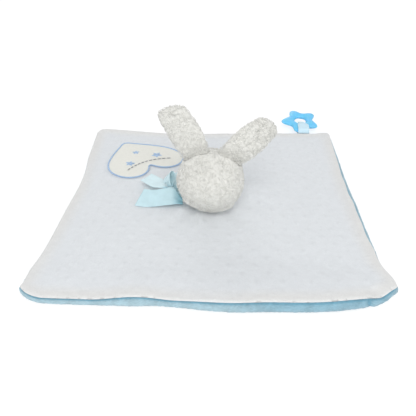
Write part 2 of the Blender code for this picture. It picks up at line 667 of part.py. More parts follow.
def head_to_world(vectors):
    """Directions in the head's own frame, tilted back and rolled to the side."""
    right = turned(turned((1, 0, 0), (1, 0, 0), HEAD_TILT), (0, 1, 0), HEAD_ROLL)
    face = turned(turned((0, 1, 0), (1, 0, 0), HEAD_TILT), (0, 1, 0), HEAD_ROLL)
    crown = turned(turned((0, 0, 1), (1, 0, 0), HEAD_TILT), (0, 1, 0), HEAD_ROLL)
    return np.asarray(vectors, float) @ np.array([right, face, crown])


def world_to_head(vector):
    """A world direction in the head's own frame."""
    axes = head_to_world(np.eye(3))
    return axes @ np.asarray(vector, float)


def bump(directions, middle, spread):
    """A soft bump, 1 in its middle direction and falling off over an angle."""
    angle = np.degrees(np.arccos(np.clip(directions @ unit(middle), -1, 1)))
    return np.exp(-(angle / spread) ** 2)


def head_radius(directions):
    """The head's form: an egg with a soft muzzle, drawn in at the neck and along the two seams."""
    semi_axes = np.array([HEAD_WIDTH, HEAD_DEPTH, HEAD_HEIGHT]) / 2
    radius = 1 / np.linalg.norm(directions / semi_axes, axis=-1)
    muzzle = (0, cos(radians(MUZZLE_ANGLE)), sin(radians(MUZZLE_ANGLE)))
    radius = radius + MUZZLE_OUT * bump(directions, muzzle, MUZZLE_SPREAD)
    neck = world_to_head(pivots["head_nod_axis"][1] - head_centre())
    radius = radius - NECK_DRAW_IN * bump(directions, neck, NECK_SPREAD)
    side = np.degrees(np.arcsin(np.clip(directions[..., 0], -1, 1)))
    off_seam = np.abs(np.abs(side) - gusset_angle()) / SEAM_GROOVE_ANGLE
    return radius - SEAM_GROOVE * np.exp(-off_seam ** 2)


def gusset_angle():
    """How far to the side the two seams run, seen from the head's middle."""
    return degrees(asin(GUSSET_WIDTH / HEAD_WIDTH))


def head_points(side, turn, inset=0.0):
    """Points on the head: an angle to the side, an angle from the face over the crown, and a depth."""
    side, turn = np.broadcast_arrays(np.radians(side), np.radians(turn))
    directions = np.stack([np.sin(side), np.cos(side) * np.cos(turn), np.cos(side) * np.sin(turn)], axis=-1)
    return head_centre() + head_to_world(directions * (head_radius(directions) - inset)[..., None])


def head_normal(side, turn):
    """The outward direction of the head's surface at one place."""
    step = HEAD_NORMAL_STEP
    by_side = head_points(side + step, turn) - head_points(side - step, turn)
    by_turn = head_points(side, turn + step) - head_points(side, turn - step)
    normal = unit(np.cross(by_turn, by_side))
    return normal if np.dot(normal, head_points(side, turn) - head_centre()) > 0 else -normal


def add_head():
    """The two side panels, the gusset over the crown, and the stuffing, all cut for the neck."""
    turn = np.arange(HEAD_SPOKES) * 360 / HEAD_SPOKES
    half_gap = degrees(GAP / HEAD_WIDTH)
    seam = gusset_angle()
    middle = np.linspace(-seam + half_gap, seam - half_gap, GUSSET_STEPS + 1)
    right = np.concatenate([[seam + half_gap], seam + (90 - seam) * np.array(HEAD_SIDE_SHARES)])
    panels = {"head_gusset": middle, "head_side_left": -right, "head_side_right": right}
    cutter = add_neck_cutter()
    for name, sides in panels.items():
        outer = head_points(sides[:, None], turn[None], 0)
        inner = head_points(sides[:, None], turn[None], HEAD_PLUSH)
        panel = add_slab(name, outer, inner, "white_curly_plush", "head_nod_axis", wrap_columns=True)
        cut(panel, cutter)
    sides = np.concatenate([-right[::-1], middle[1:-1], right])
    rings = head_points(sides[:, None], turn[None], HEAD_PLUSH + GAP)
    cut(add_loft("head_filling", rings, "stuffing", "head_nod_axis"), cutter)


def add_neck_cutter():
    """A ball round the pivot, with running clearance, that hollows the head where the neck goes in."""
    mesh = bpy.data.meshes.new("neck_cutter")
    work = bmesh.new()
    bmesh.ops.create_uvsphere(work, u_segments=NECK_SEGMENTS, v_segments=NECK_SEGMENTS // 2,
                              radius=NECK_BALL_RADIUS + NECK_BALL_CLEARANCE)
    work.to_mesh(mesh)
    work.free()
    cutter = bpy.data.objects.new("neck_cutter", mesh)
    bpy.context.collection.objects.link(cutter)
    cutter.parent = pivots["head_nod_axis"][0]
    cutter.hide_render = True
    cutter.display_type = "WIRE"
    return cutter


def cut(piece, cutter):
    """Take a guide's shape out of a piece."""
    boolean = piece.modifiers.new("cut", "BOOLEAN")
    boolean.operation = "DIFFERENCE"
    boolean.object = cutter


def add_face():
    """Closed embroidered eyes, a small nose and a mouth, on the muzzle's side of the head."""
    for name, side in (("eye_left", -EYE_SIDE_ANGLE), ("eye_right", EYE_SIDE_ANGLE)):
        add_face_stitch(name, side, EYE_UP_ANGLE, EYE_WIDTH, EYE_DROP, "grey_thread")
    add_face_stitch("mouth_stitch", 0, MOUTH_ANGLE, MOUTH_WIDTH, MOUTH_DROP, "grey_thread")

    normal = head_normal(0, NOSE_UP_ANGLE)
    middle = head_points(0, NOSE_UP_ANGLE) + normal * (NOSE_THICKNESS / 2 + GAP * 2)
    right = head_to_world((1, 0, 0))
    up = np.cross(right, normal)
    size = np.array([NOSE_WIDTH, NOSE_HEIGHT, NOSE_THICKNESS]) / 2
    rings = middle + ball_grid(NOSE_RINGS, NOSE_SEGMENTS) * size @ np.array([right, up, normal])
    add_loft("nose", rings, "pink_thread", "head_nod_axis")


def ball_grid(rings, segments):
    """Points on a ball of radius one, from its top ring by ring down to its bottom."""
    fall = np.linspace(0, pi, rings + 1)[:, None]
    turn = np.arange(segments)[None] * 2 * pi / segments
    circle = np.stack([np.cos(turn), np.sin(turn), 0 * turn], axis=-1)
    return np.sin(fall)[..., None] * circle + np.cos(fall)[..., None] * (0, 0, 1)


def add_face_stitch(name, side, turn, width, drop, finish):
    """A sagging arc of thread that lies on the head."""
    share = np.linspace(-1, 1, FACE_STITCH_STEPS + 1)
    scale = degrees(2 / HEAD_DEPTH)
    sides = side + share * width / 2 * scale
    turns = turn - (1 - share ** 2) * drop * scale
    path = head_points(sides, turns, -(FACE_THREAD_RADIUS + GAP))
    add_loft(name, open_tube(path, FACE_THREAD_RADIUS, THREAD_SIDES), finish, "head_nod_axis")


def ear_frame(side):
    """An ear's root on the head: its hinge's place, the hinge's direction, the ear's axis and its front."""
    place = head_points(side, 90 - EAR_FORWARD_ANGLE)
    normal = head_normal(side, 90 - EAR_FORWARD_ANGLE)
    root_line = unit(np.cross(normal, (0, -1, 0)))
    axis = turned(normal, root_line, -EAR_LEAN)
    front = np.cross(axis, root_line)
    return place + normal * EAR_HINGE_HEIGHT, root_line, axis, front


def ear_ring(frame, slant, station, inset, angles, gap):
    """Points of one cross-section of an ear, drawn in by an inset, its halves parted by a gap."""
    place, root_line, axis, front = frame
    half_width, half_thickness = EAR_WIDTH / 2, EAR_THICKNESS / 2
    if station < 0:
        share, length = 0.0, -EAR_ROOT_DEPTH
        thin = half_thickness * EAR_THICKNESS_SHARES[0] * EAR_ROOT_PINCH_SHARE
    else:
        share = EAR_PLACE_SHARES[station]
        length = share * (EAR_LENGTH - EAR_HINGE_HEIGHT - inset)
        thin = half_thickness * EAR_THICKNESS_SHARES[station]
    wide = half_width * EAR_WIDTH_SHARES[max(station, 0)]
    if share == 1:
        wide = thin = 0
    else:
        wide, thin = wide - inset, thin - inset
    swing = radians(slant) * smooth(share / EAR_SLANT_SHARE)
    across = root_line * cos(swing) - axis * sin(swing)
    middle = place + (axis * cos(radians(slant)) + root_line * sin(radians(slant))) * length
    x, y = wide * np.cos(angles), thin * np.sin(angles) + gap * np.sign(np.sin(angles))
    sag = x ** 2 / HEAD_WIDTH * (1 - smooth(length / EAR_WIDTH / EAR_SAG_SHARE))
    return middle + x[:, None] * across + y[:, None] * front - sag[:, None] * axis


def add_ears():
    """Two stuffed ears, each of a back, a lining and a filling, that hinge at their roots."""
    stations = range(-1, len(EAR_PLACE_SHARES))
    ears = (("ear_left", -EAR_SIDE_ANGLE, EAR_LEFT_SLANT), ("ear_right", EAR_SIDE_ANGLE, EAR_RIGHT_SLANT))
    for name, side, slant in ears:
        frame = ear_frame(side)
        pivot = name + "_axis"
        add_pivot(pivot, frame[0], "head_nod_axis")
        pivots[pivot][0]["axis"] = frame[1].tolist()
        for half, start in (("lining", 0), ("back", pi)):
            angles = start + np.linspace(EAR_SPLIT_ANGLE, pi - EAR_SPLIT_ANGLE, EAR_STEPS + 1)
            outer, inner = (np.array([ear_ring(frame, slant, s, inset, angles, GAP / 2) for s in stations])
                            for inset in (0, EAR_PLUSH))
            add_slab(f"{name}_{half}", outer, inner, "white_curly_plush", pivot)
        angles = np.arange(2 * EAR_STEPS) * pi / EAR_STEPS
        rings = [ear_ring(frame, slant, s, EAR_PLUSH + GAP, angles, 0) for s in stations]
        add_loft(name + "_filling", rings, "stuffing", pivot)


def knot_place():
    """The middle of the bow's knot, at the head's left."""
    return np.array([-KNOT_OUT, NECK_Y, KNOT_HEIGHT])


def add_neck_ribbon():
    """The ribbon round the neck: round the column, then out to the knot in two runs, the near one spread."""
    radius = NECK_BALL_RADIUS + 2 * GAP + RIBBON_THICKNESS / 2
    thread_top = BACKING_THICKNESS + TOP_THICKNESS + NECK_RISE + 2 * NECK_THREAD_RADIUS + 3 * GAP
    level = thread_top + GAP + BAND_HEIGHT / 2
    reach = -knot_place()[0] - KNOT_LENGTH / 2 - GAP
    run_offset = KNOT_DEPTH * RUN_OFFSET_SHARE
    run_height = KNOT_THICKNESS * RUN_HEIGHT_SHARE

    runs = [(FAR_LEAVE_SHARES[0], radius * FAR_LEAVE_SHARES[1], BAND_HEIGHT)]
    runs += [(share, run_offset * out, run_height) for share, out in FAR_RUN_SHARES]
    runs.append((1, -run_offset, run_height))
    runs += [(share, -BAND_BELLY * out, BAND_SPREAD_HEIGHT) for share, out in NEAR_RUN_SHARES]
    share, out = NEAR_LEAVE_SHARES
    runs.append((share, -radius * out, BAND_HEIGHT * out))

    angles = np.linspace(-BAND_WRAP_ANGLE, BAND_WRAP_ANGLE, BAND_WRAP_STEPS + 1)
    route = [(*(heading(angle)[:2] * radius + (0, NECK_Y)), level) for angle in angles]
    heights = [BAND_HEIGHT] * len(angles)
    for share, offset, height in runs:
        spread = max(0, height / 2 - BAND_HEIGHT)
        route.append((-reach * share, NECK_Y + offset, level + BAND_RISE * smooth(share) + spread))
        heights.append(height)
    across = np.array([(0, 0, height / 2) for height in heights])
    add_slab("neck_ribbon", *ribbon_grids(route, across, RIBBON_THICKNESS, True), "blue_satin",
             "neck_swivel_axis", wrap_rows=True)


def knot_radius(direction):
    """From the knot's middle to its surface."""
    return 1 / np.linalg.norm(2 * direction / np.array([KNOT_LENGTH, KNOT_DEPTH, KNOT_THICKNESS]))


def add_knot():
    """The knot: a soft pillow of ribbon."""
    size = np.array([KNOT_LENGTH, KNOT_DEPTH, KNOT_THICKNESS]) / 2
    rings = knot_place() + ball_grid(KNOT_RINGS, KNOT_SEGMENTS) * size
    add_loft("bow_knot", rings, "blue_satin", "neck_swivel_axis")


def add_bow_loop(name, direction, across, length, bulge):
    """One loop of the bow: out from the knot, round and back, pinched where it leaves the knot."""
    turn = (np.arange(LOOP_STEPS) + 0.5) * 2 * pi / LOOP_STEPS
    out = (1 - np.cos(turn)) / 2
    thick = np.sin(turn) * bulge * (LOOP_ROOT_BULGE_SHARE + (1 - LOOP_ROOT_BULGE_SHARE) * smooth(out * 2))
    side = unit(np.cross(direction, across))
    start = knot_place() + direction * (knot_radius(direction) + GAP + RIBBON_THICKNESS / 2)
    route = start + direction * (out * length)[:, None] + side * thick[:, None]
    opening = smooth(out / LOOP_PINCH_REACH_SHARE)
    width = RIBBON_WIDTH / 2 * (LOOP_PINCH_SHARE + (1 - LOOP_PINCH_SHARE) * opening)
    grids = ribbon_grids(route, unit(across) * width[:, None], RIBBON_THICKNESS, True)
    add_slab(name, *grids, "blue_satin", "neck_swivel_axis", wrap_rows=True)


def add_tail(name, start, end, across_start, across_end, cut_length, wave, pivot):
    """A tail of the bow: its middle line with a soft wave, its width turning, its end cut at a slant."""
    share = np.linspace(0, 1, TAIL_STEPS + 1)[:, None]
    route = start + (end - start) * share
    route[:, 2] += wave * np.sin(2 * pi * share[:, 0])
    mix = smooth(share / TAIL_OPENING_SHARE)
    across = across_start * (1 - mix) + across_end * mix
    upper, lower = ribbon_grids(route, across, RIBBON_THICKNESS)
    slant = unit(end - start) * cut_length / 2
    for grid in (upper, lower):
        grid[-1, 0] += slant
        grid[-1, 1] -= slant
    add_slab(name, upper, lower, "blue_satin", pivot)


def add_bow():
    """The bow: its knot, a standing loop, a loop behind, and two tails that lift at the knot."""
    add_knot()
    near = heading(NEAR_LOOP_HEADING, NEAR_LOOP_RISE)
    near_across = np.cross(np.cross(near, heading(NEAR_LOOP_ACROSS_HEADING)), near)
    add_bow_loop("bow_loop_near", near, near_across, NEAR_LOOP_LENGTH, NEAR_LOOP_BULGE)
    far = heading(FAR_LOOP_HEADING, FAR_LOOP_RISE)
    far_across = turned(heading(FAR_LOOP_HEADING - 90), far, FAR_LOOP_ROLL)
    add_bow_loop("bow_loop_far", far, far_across, FAR_LOOP_LENGTH, FAR_LOOP_BULGE)

    lean = radians(FRONT_TAIL_LEAN)
    across = np.array([0, sin(lean), cos(lean)]) * RIBBON_WIDTH / 2
    middle = FRONT_TAIL_EDGE_HEIGHT + across[2]
    knot = knot_place()
    start = np.array([knot[0] + KNOT_LENGTH / 2, FRONT_TAIL_Y, middle])
    add_pivot("tail_front_axis", start, "neck_swivel_axis")
    end = start - (FRONT_TAIL_LENGTH, 0, 0)
    add_tail("bow_tail_front", start, end, across * FRONT_TAIL_ROOT_SHARE, across, FRONT_TAIL_CUT,
             FRONT_TAIL_WAVE, "tail_front_axis")

    way = heading(REAR_TAIL_HEADING)
    start = knot + way * (knot_radius(way) + GAP)
    end = start + way * REAR_TAIL_LENGTH
    end[2] = REAR_TAIL_END_HEIGHT
    across = turned(np.cross((0, 0, 1), way), way, REAR_TAIL_DIP) * RIBBON_WIDTH / 2
    add_pivot("tail_rear_axis", start, "neck_swivel_axis")
    add_tail("bow_tail_rear", start, end, across * REAR_TAIL_ROOT_SHARE, across, REAR_TAIL_CUT, 0,
             "tail_rear_axis")


def far_seam(x):
    """Where the far seam runs at a place across, and its height there."""
    outline, inwards, places = blanket_outline()
    far = inwards[:, 1] < -abs(inwards[:, 0])
    order = np.argsort(outline[far, 0])
    across = outline[far, 0][order]
    rows = (outline[:, 1], seam_heights(places))
    return [np.interp(x, across, row[far][order]) for row in rows]


def teether_frame():
    """The hinge of the loop at the far edge, the way out along the tilted ring, and the ring's middle."""
    x = BLANKET_WIDTH / 2 - LOOP_SIDE_INSET
    edge, height = far_seam(x)
    hinge = np.array([x, edge + 2 * GAP, height + LOOP_LIFT])
    out = np.array([0, cos(radians(TEETHER_TILT)), sin(radians(TEETHER_TILT))])
    return hinge, out, hinge + out * LOOP_TO_TEETHER + (TEETHER_OFFSET, 0, 0)


def add_teether():
    """The ring with its rounded arms: one rounded section carried round the hole."""
    hinge, out, centre = teether_frame()
    middle = (TEETHER_HOLE_RADIUS + TEETHER_REACH) / 2
    add_pivot("teether_swing_axis", centre - out * middle, "loop_fold_axis")
    up = np.cross((1, 0, 0), out)
    angles = np.arange(TEETHER_SPOKES) * 2 * pi / TEETHER_SPOKES
    arm = ((1 + np.cos(TEETHER_ARMS * (angles - radians(TEETHER_ARM_HEADING)))) / 2) ** TEETHER_ARM_SHARPNESS
    reach = TEETHER_VALLEY + (TEETHER_REACH - TEETHER_VALLEY) * arm
    turn = np.arange(TEETHER_RING_STEPS) * 2 * pi / TEETHER_RING_STEPS
    power = 2 / TEETHER_ROUNDNESS
    outward = np.sign(np.cos(turn)) * np.abs(np.cos(turn)) ** power
    rise = np.sign(np.sin(turn)) * np.abs(np.sin(turn)) ** power
    breadth = (reach - TEETHER_HOLE_RADIUS)[:, None]
    distance = TEETHER_HOLE_RADIUS + breadth * (1 + outward) / 2
    thin = 1 - (1 - TEETHER_TIP_THICKNESS_SHARE) * arm[:, None] * np.clip(outward, 0, 1)
    height = TEETHER_THICKNESS / 2 * rise * thin
    spoke = np.cos(angles)[:, None] * np.array([1.0, 0, 0]) + np.sin(angles)[:, None] * out
    rings = centre + spoke[:, None] * distance[..., None] + up * height[..., None]
    add_loft("teether", rings, "sky_blue_silicone", "teether_swing_axis", wrap_rows=True)


def add_teether_loop():
    """The ribbon loop: from the seam over the ring's near arm, down through the hole and back below it."""
    hinge, out, centre = teether_frame()
    add_pivot("loop_fold_axis", hinge)
    up = np.cross((1, 0, 0), out)
    hole_chord = sqrt((TEETHER_HOLE_RADIUS - GAP) ** 2 - (LOOP_HOLE_WIDTH / 2) ** 2)
    end = LOOP_TO_TEETHER - hole_chord + LOOP_THICKNESS / 2
    half = TEETHER_THICKNESS / 2 + LOOP_CLEARANCE + LOOP_THICKNESS / 2
    start = LOOP_THICKNESS / 2
    root = start + LOOP_TONGUE
    upper = [(start + half * place, share) for place, share in LOOP_START_SHARES]
    upper += [(root + half * place, share) for place, share in LOOP_ROOT_SHARES]
    upper += [(end - half * place, share) for place, share in LOOP_END_SHARES]
    lower = [(along, -share) for along, share in upper[-2:0:-1]]
    along, rise = np.array(upper + lower).T
    narrowing = smooth((along - (end - 2 * half)) / (2 * half * LOOP_NARROWING_SHARE))
    width = LOOP_WIDTH + (LOOP_HOLE_WIDTH - LOOP_WIDTH) * narrowing
    route = hinge + along[:, None] * out + half * rise[:, None] * up
    route[:, 0] += narrowing * TEETHER_OFFSET
    across = np.array([0.5, 0, 0]) * width[:, None]
    add_slab("teether_loop", *ribbon_grids(route, across, LOOP_THICKNESS, True), "pale_loop_ribbon",
             "loop_fold_axis", wrap_rows=True)


def clear_scene():
    """Remove what the scene holds."""
    for thing in list(bpy.data.objects):
        bpy.data.objects.remove(thing, do_unlink=True)


def main():
    """Build the whole object."""
    clear_scene()
    add_pivot("neck_swivel_axis", (0, NECK_Y, NECK_PIVOT_HEIGHT))
    add_pivot("head_nod_axis", (0, NECK_Y, NECK_PIVOT_HEIGHT), "neck_swivel_axis")
    add_blanket()
    add_patch()
    add_neck()
    add_head()
    add_face()
    add_ears()
    add_neck_ribbon()
    add_bow()
    add_teether_loop()
    add_teether()
    bpy.context.view_layer.update()


main()
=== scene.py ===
"""The looks of a baby's comfort blanket: dotted plush over blue plush, a curly bunny's head, a satin bow,
a sewn heart and a star-shaped teether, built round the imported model.

The file is laid out as a Blender add-on. Each operator makes one piece or one group of like pieces.
Lengths are in metres and angles in degrees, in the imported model's frame: +X right, +Y away, +Z up.
"""

import json
from itertools import product
from math import acos, asin, atan, cos, degrees, pi, radians, sin, sqrt

import bmesh
import bpy
import numpy as np
from bpy.props import FloatProperty, FloatVectorProperty, IntProperty, PointerProperty
from mathutils import Euler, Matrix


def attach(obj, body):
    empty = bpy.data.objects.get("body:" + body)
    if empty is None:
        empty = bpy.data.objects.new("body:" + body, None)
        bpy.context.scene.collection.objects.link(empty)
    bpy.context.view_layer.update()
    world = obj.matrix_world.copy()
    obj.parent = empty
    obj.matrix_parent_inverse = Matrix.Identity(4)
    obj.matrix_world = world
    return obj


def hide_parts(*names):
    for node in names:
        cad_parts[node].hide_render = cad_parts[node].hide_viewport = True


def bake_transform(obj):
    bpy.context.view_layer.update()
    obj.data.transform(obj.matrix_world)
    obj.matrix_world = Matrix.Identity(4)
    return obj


bl_info = {
    "name": "Comfort blanket",
    "version": (1, 0, 0),
    "blender": (4, 5, 0),
    "location": "3D View > Sidebar > Comfort blanket",
    "description": "Builds the cloth, plush, ribbon and teether of a baby's comfort blanket",
    "category": "Add Mesh",
}

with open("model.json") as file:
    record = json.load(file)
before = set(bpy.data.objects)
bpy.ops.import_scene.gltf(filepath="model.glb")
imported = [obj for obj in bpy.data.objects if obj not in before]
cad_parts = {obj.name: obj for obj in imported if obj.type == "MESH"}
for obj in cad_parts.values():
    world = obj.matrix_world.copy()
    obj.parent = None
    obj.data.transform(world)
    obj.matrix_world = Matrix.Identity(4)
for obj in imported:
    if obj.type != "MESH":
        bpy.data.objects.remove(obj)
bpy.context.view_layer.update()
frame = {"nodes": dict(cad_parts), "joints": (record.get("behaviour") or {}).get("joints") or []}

GAP = 0.0003

# Blanket, as its solids have it
BLANKET_WIDTH = 0.293
BLANKET_DEPTH = 0.310
BLANKET_MIDDLE_Y = 0.0015
CORNER_RADIUS = 0.020
OUT_REACH = 0.010
OUT_PLACES = (0.0, 0.007, 0.02, 0.033, 0.052, 0.075, 0.101, 0.117, 0.132, 0.146, 0.158, 0.172, 0.19,
              0.205, 0.219, 0.23, 0.238, 0.25, 0.266, 0.282, 0.303, 0.3165, 0.3225, 0.331, 0.338,
              0.35, 0.362, 0.375, 0.39, 0.4, 0.412, 0.425, 0.44, 0.455, 0.47, 0.496, 0.5167, 0.535,
              0.545, 0.556, 0.575, 0.6, 0.63, 0.66, 0.7, 0.716, 0.74, 0.759, 0.773, 0.785, 0.795,
              0.822, 0.853, 0.874, 0.894, 0.926, 0.952, 0.975, 0.989)
OUTS = (0.0, 0.08, -0.12, -0.28, -0.4, -0.33, -0.19, -0.08, -0.22, -0.08, 0.14, 0.3, 0.27,
        0.28, 0.21, 0.09, -0.08, -0.43, -0.6, -0.62, -0.4, 0.02, 0.0, -0.34, -0.48,
        -0.45, -0.6, -0.57, -0.6, -0.53, -0.62, -0.5, -0.5, -0.37, -0.26, 0.0, 0.25, 0.86,
        0.55, 0.1, -0.02, -0.05, -0.35, -0.5, -0.4, -0.12, 0.3, 0.65, 0.95, 0.7, 0.3,
        -0.06, -0.42, -0.78, -0.9, -0.7, -0.5, -0.3, -0.05)
EDGE_WAVE = 0.0004
EDGE_FADE = 0.075
EDGE_STEP = 0.0013
BACKING_BULGE = 0.0040
BULGE_PLACES = (0.0, 0.03, 0.3, 0.331, 0.35, 0.362, 0.375, 0.39, 0.4, 0.412, 0.425, 0.44, 0.455,
                0.47, 0.496, 0.53, 0.75, 0.95)
BULGES = (0.2, 0.4, 0.4, 0.15, 0.38, 0.75, 0.62, 0.85, 0.75, 1.0, 0.72, 0.8, 0.62,
          0.5, 0.3, 0.12, 0.1, 0.08)
BACKING_THICKNESS = 0.0024
TOP_THICKNESS = 0.0020
TOP_LEVEL = BACKING_THICKNESS + GAP + TOP_THICKNESS
RIM_WIDTH = 0.012
RIM_CREST = 0.0013
RIM_EASE = 0.0015
RIM_FLAT = 0.0025
RIM_ROLL_DROP = 0.0011
RIM_ROLL_WIDTH = 0.0026
RIM_TONE_WIDTH = 0.015
RIM_TURN_UNDER = 0.0030
INNER_FADE = 0.006
FOLD_FADE = 0.03
FLUFF_HEIGHT = 0.0004
FLUFF_SIZE = 0.0024
FRONT_LIFT_REACH = 0.060
SEAM_HEIGHT = 0.0043
SEAM_LIFT = 0.0050
CORNER_PART = 4 / 15
LIFT_PLACES = (0.0, 0.073, 0.097, 0.118, 0.136, 0.158, 0.187, 0.218, 0.235, 0.262, 0.3, 0.345,
               0.39, 0.45, 0.5, 0.56, 0.6, 0.65, 0.7, 0.75, 0.8, 0.88, 0.95)
LIFTS = (0.0, 0.0, 0.05, 0.8, 0.15, 0.6, 0.9, 0.9, 1.0, 0.25, 0.45, 0.15,
         0.4, 0.15, 0.25, 0.0, 0.0, 0.25, 0.1, 0.3, 0.05, 0.2, 0.05)

# Neck and head
NECK_Y = -0.004
NECK_RISE = 0.0012
GATHER_HEIGHT = 0.0006
GATHERS = 10
GATHER_FROM = 0.03
GATHER_FADE = 0.05
COLLAR_RADIUS = 0.013
NECK_RADIUS = 0.0050
FOOT_RADIUS = 0.012
FOOT_THICKNESS = 0.0008
NECK_BALL_RADIUS = 0.0068
NECK_BALL_CLEARANCE = 0.0005
NECK_PIVOT = np.array([0.0, NECK_Y, 0.0113])
HEAD_SIZE = np.array([0.0636, 0.0610, 0.0590])
HEAD_REACH = 0.0320
HEAD_LEAN = 36.0
HEAD_TILT = 14.0
HEAD_ROLL = 6.0
GUSSET_WIDTH = 0.022
MUZZLE_OUT = 0.0045
MUZZLE_ANGLE = -14.0
MUZZLE_SPREAD = 24.0
NECK_DRAW_IN = 0.0030
NECK_SPREAD = 22.0
RESTING_WAY = np.array([-0.27, -0.52, -0.81])
RESTING_DEPTH = 0.0018
EYE_SIDE_ANGLE = 24.0
EYE_UP_ANGLE = 10.0
EYE_WIDTH = 0.0075
EYE_DROP = 0.0022
MOUTH_WIDTH = 0.0090
MOUTH_DROP = 0.0022
MOUTH_ANGLE = -21.0
NOSE_UP_ANGLE = -6.0

# Ears
EAR_LENGTH = 0.0500
EAR_WIDTH = 0.0290
EAR_THICKNESS = 0.0100
EAR_HINGE_HEIGHT = 0.0036
EAR_SIDE_ANGLE = 31.0
EAR_FORWARD_ANGLE = 10.0
EAR_LEAN = 12.5

# Ribbon
RIBBON_WIDTH = 0.019
RIBBON_THICKNESS = 0.0007
RIBBON_BODY = 0.0005
BAND_HEIGHT = 0.0032
BAND_SPREAD_HEIGHT = 0.0095
BAND_RISE = 0.0026
BAND_BELLY = 0.0085
KNOT_PLACE = np.array([-0.0395, NECK_Y, 0.0142])
KNOT_SIZE = np.array([0.0080, 0.0095, 0.0075])
FRONT_TAIL_LENGTH = 0.0340
FRONT_TAIL_ROOT = 0.0085
FRONT_TAIL_CUT = 0.0080
FRONT_TAIL_Y = -0.0151
FRONT_TAIL_EDGE_HEIGHT = 0.0080
FRONT_TAIL_LEAN = 60.0
REAR_TAIL_LENGTH = 0.0365
REAR_TAIL_CUT = 0.0060
REAR_TAIL_HEADING = 134.0
REAR_TAIL_END_HEIGHT = 0.0125
REAR_TAIL_DIP = 4.0
NEAR_LOOP_LENGTH = 0.0118
NEAR_LOOP_BULGE = 0.0034
NEAR_LOOP_HEADING = 112.0
NEAR_LOOP_RISE = 70.0
NEAR_LOOP_ACROSS_HEADING = 128.0
NEAR_LOOP_OPEN = 0.74
NEAR_LOOP_SLANT = 0.55
FAR_LOOP_LENGTH = 0.0215
FAR_LOOP_BULGE = 0.0040
FAR_LOOP_HEADING = 62.0
FAR_LOOP_RISE = 3.0
FAR_LOOP_ROLL = 20.0
LOOP_PINCH = 0.36

# Creases pressed into the top panel: from a place to a place, how deep and how wide
CREASES = ((-0.0123, -0.031, -0.0112, -0.059, 0.0009, 0.0016),
           (-0.0183, -0.032, -0.0203, -0.050, 0.0005, 0.0018),
           (-0.0059, -0.032, -0.0041, -0.050, 0.0005, 0.0018),
           (0.0330, 0.046, 0.0590, 0.037, 0.0012, 0.0022),
           (0.0345, 0.033, 0.0665, 0.027, 0.0012, 0.0020),
           (0.0380, 0.016, 0.0760, -0.002, 0.0008, 0.0030),
           (0.0400, 0.002, 0.0710, -0.026, 0.0006, 0.0030),
           (0.0550, 0.055, 0.0800, 0.053, 0.0004, 0.0030),
           (0.0880, -0.100, 0.1080, -0.126, 0.0005, 0.0050),
           (0.1110, -0.107, 0.1350, -0.125, 0.0005, 0.0045),
           (0.0450, -0.089, 0.0740, -0.115, 0.0004, 0.0050),
           (-0.0290, -0.031, -0.0330, -0.048, 0.0005, 0.0020),
           (0.0600, -0.060, 0.0900, -0.072, 0.0004, 0.0050),
           (-0.1180, -0.070, -0.0900, -0.085, 0.0004, 0.0050))

# Heart patch
HEART_PLACE = np.array([-0.0815, 0.0841])
HEART_WIDTH = 0.0885
HEART_LENGTH = 0.0980
HEART_TIP_HEADING = 124.0
HEART_ROUNDING = 0.024
HEART_TIP_BACK = 0.08
HEART_TIP_REACH = 0.15
BORDER_WIDTH = 0.0018
BORDER_THICKNESS = 0.0015
BORDER_STITCHES = 560
PATCH_LEVEL = TOP_LEVEL + GAP
PATCH_FACE = PATCH_LEVEL + 0.0010
STAR_RADIUS = 0.0065
STAR_PLACES = ((-0.20, 0.08), (0.20, 0.05), (0.0, -0.14))
STAR_SIZES = (0.85, 1.0, 0.7)
STAR_TURNS = (10.0, -12.0, 24.0)

# Teether
TEETHER_REACH = 0.0243
TEETHER_VALLEY = 0.0160
TEETHER_HOLE_RADIUS = 0.0074
TEETHER_THICKNESS = 0.0064
TEETHER_ARMS = 5
TEETHER_ARM_HEADING = 39.5
TEETHER_TILT = 12.0
TEETHER_OFFSET = -0.0018
LOOP_TO_TEETHER = 0.0266
LOOP_WIDTH = 0.0140
LOOP_HOLE_WIDTH = 0.0070
LOOP_THICKNESS = 0.0008
LOOP_CLEARANCE = 0.0008
LOOP_TONGUE = 0.0014

# Plush and face: the tufts' heights and sizes, a curl's arc, how far the cloth lies inside its form
TUFT_HEIGHTS = (0.0007, 0.0003)
TUFT_SIZES = (0.0052, 0.0022)
CURL_ARC = 1.55 * pi
HEAD_SINK = 0.0011
EAR_SINK = 0.0009
ROOT_RIDGE = 0.0022
FACE_THREAD_RADIUS = 0.0006
NOSE_DOME = 0.0014
NOSE_HALF_WIDTH = 0.00375
NOSE_HALF_HEIGHT = 0.0025

# Camera and light: each lamp's place, power and width
PICTURE_SIDE = 416
CAMERA_FOCUS = 496.0
CAMERA_PLACE = (0.0053, -0.4285, 0.2659)
CAMERA_DROP = 32.67
CAMERA_TURN = 1.07
SENSOR_WIDTH = 36.0
FLOOR_SIDE = 12.0
FLOOR_DROP = 0.0003
LAMPS = (((0.15, -1.7, 1.75), 29.0, 1.4), ((0.0, -2.2, 0.5), 3.0, 1.0), ((-0.3, 1.9, 1.0), 7.0, 1.4))
SKY_LIGHT = 0.515
SKY_RISE = 0.45


def unit(vectors):
    """The same directions with length one."""
    vectors = np.asarray(vectors, float)
    return vectors / np.maximum(np.linalg.norm(vectors, axis=-1, keepdims=True), 1e-12)


def smooth(share):
    """A step from 0 to 1 with a soft start and end: 3 s squared less 2 s cubed."""
    share = np.clip(share, 0, 1)
    return share * share * (3 - 2 * share)


def turned(vector, axis, angle):
    """A vector turned about an axis by the right-hand rule."""
    vector, axis = np.asarray(vector, float), unit(axis)
    c, s = cos(radians(angle)), sin(radians(angle))
    return vector * c + np.cross(axis, vector) * s + axis * np.dot(axis, vector) * (1 - c)


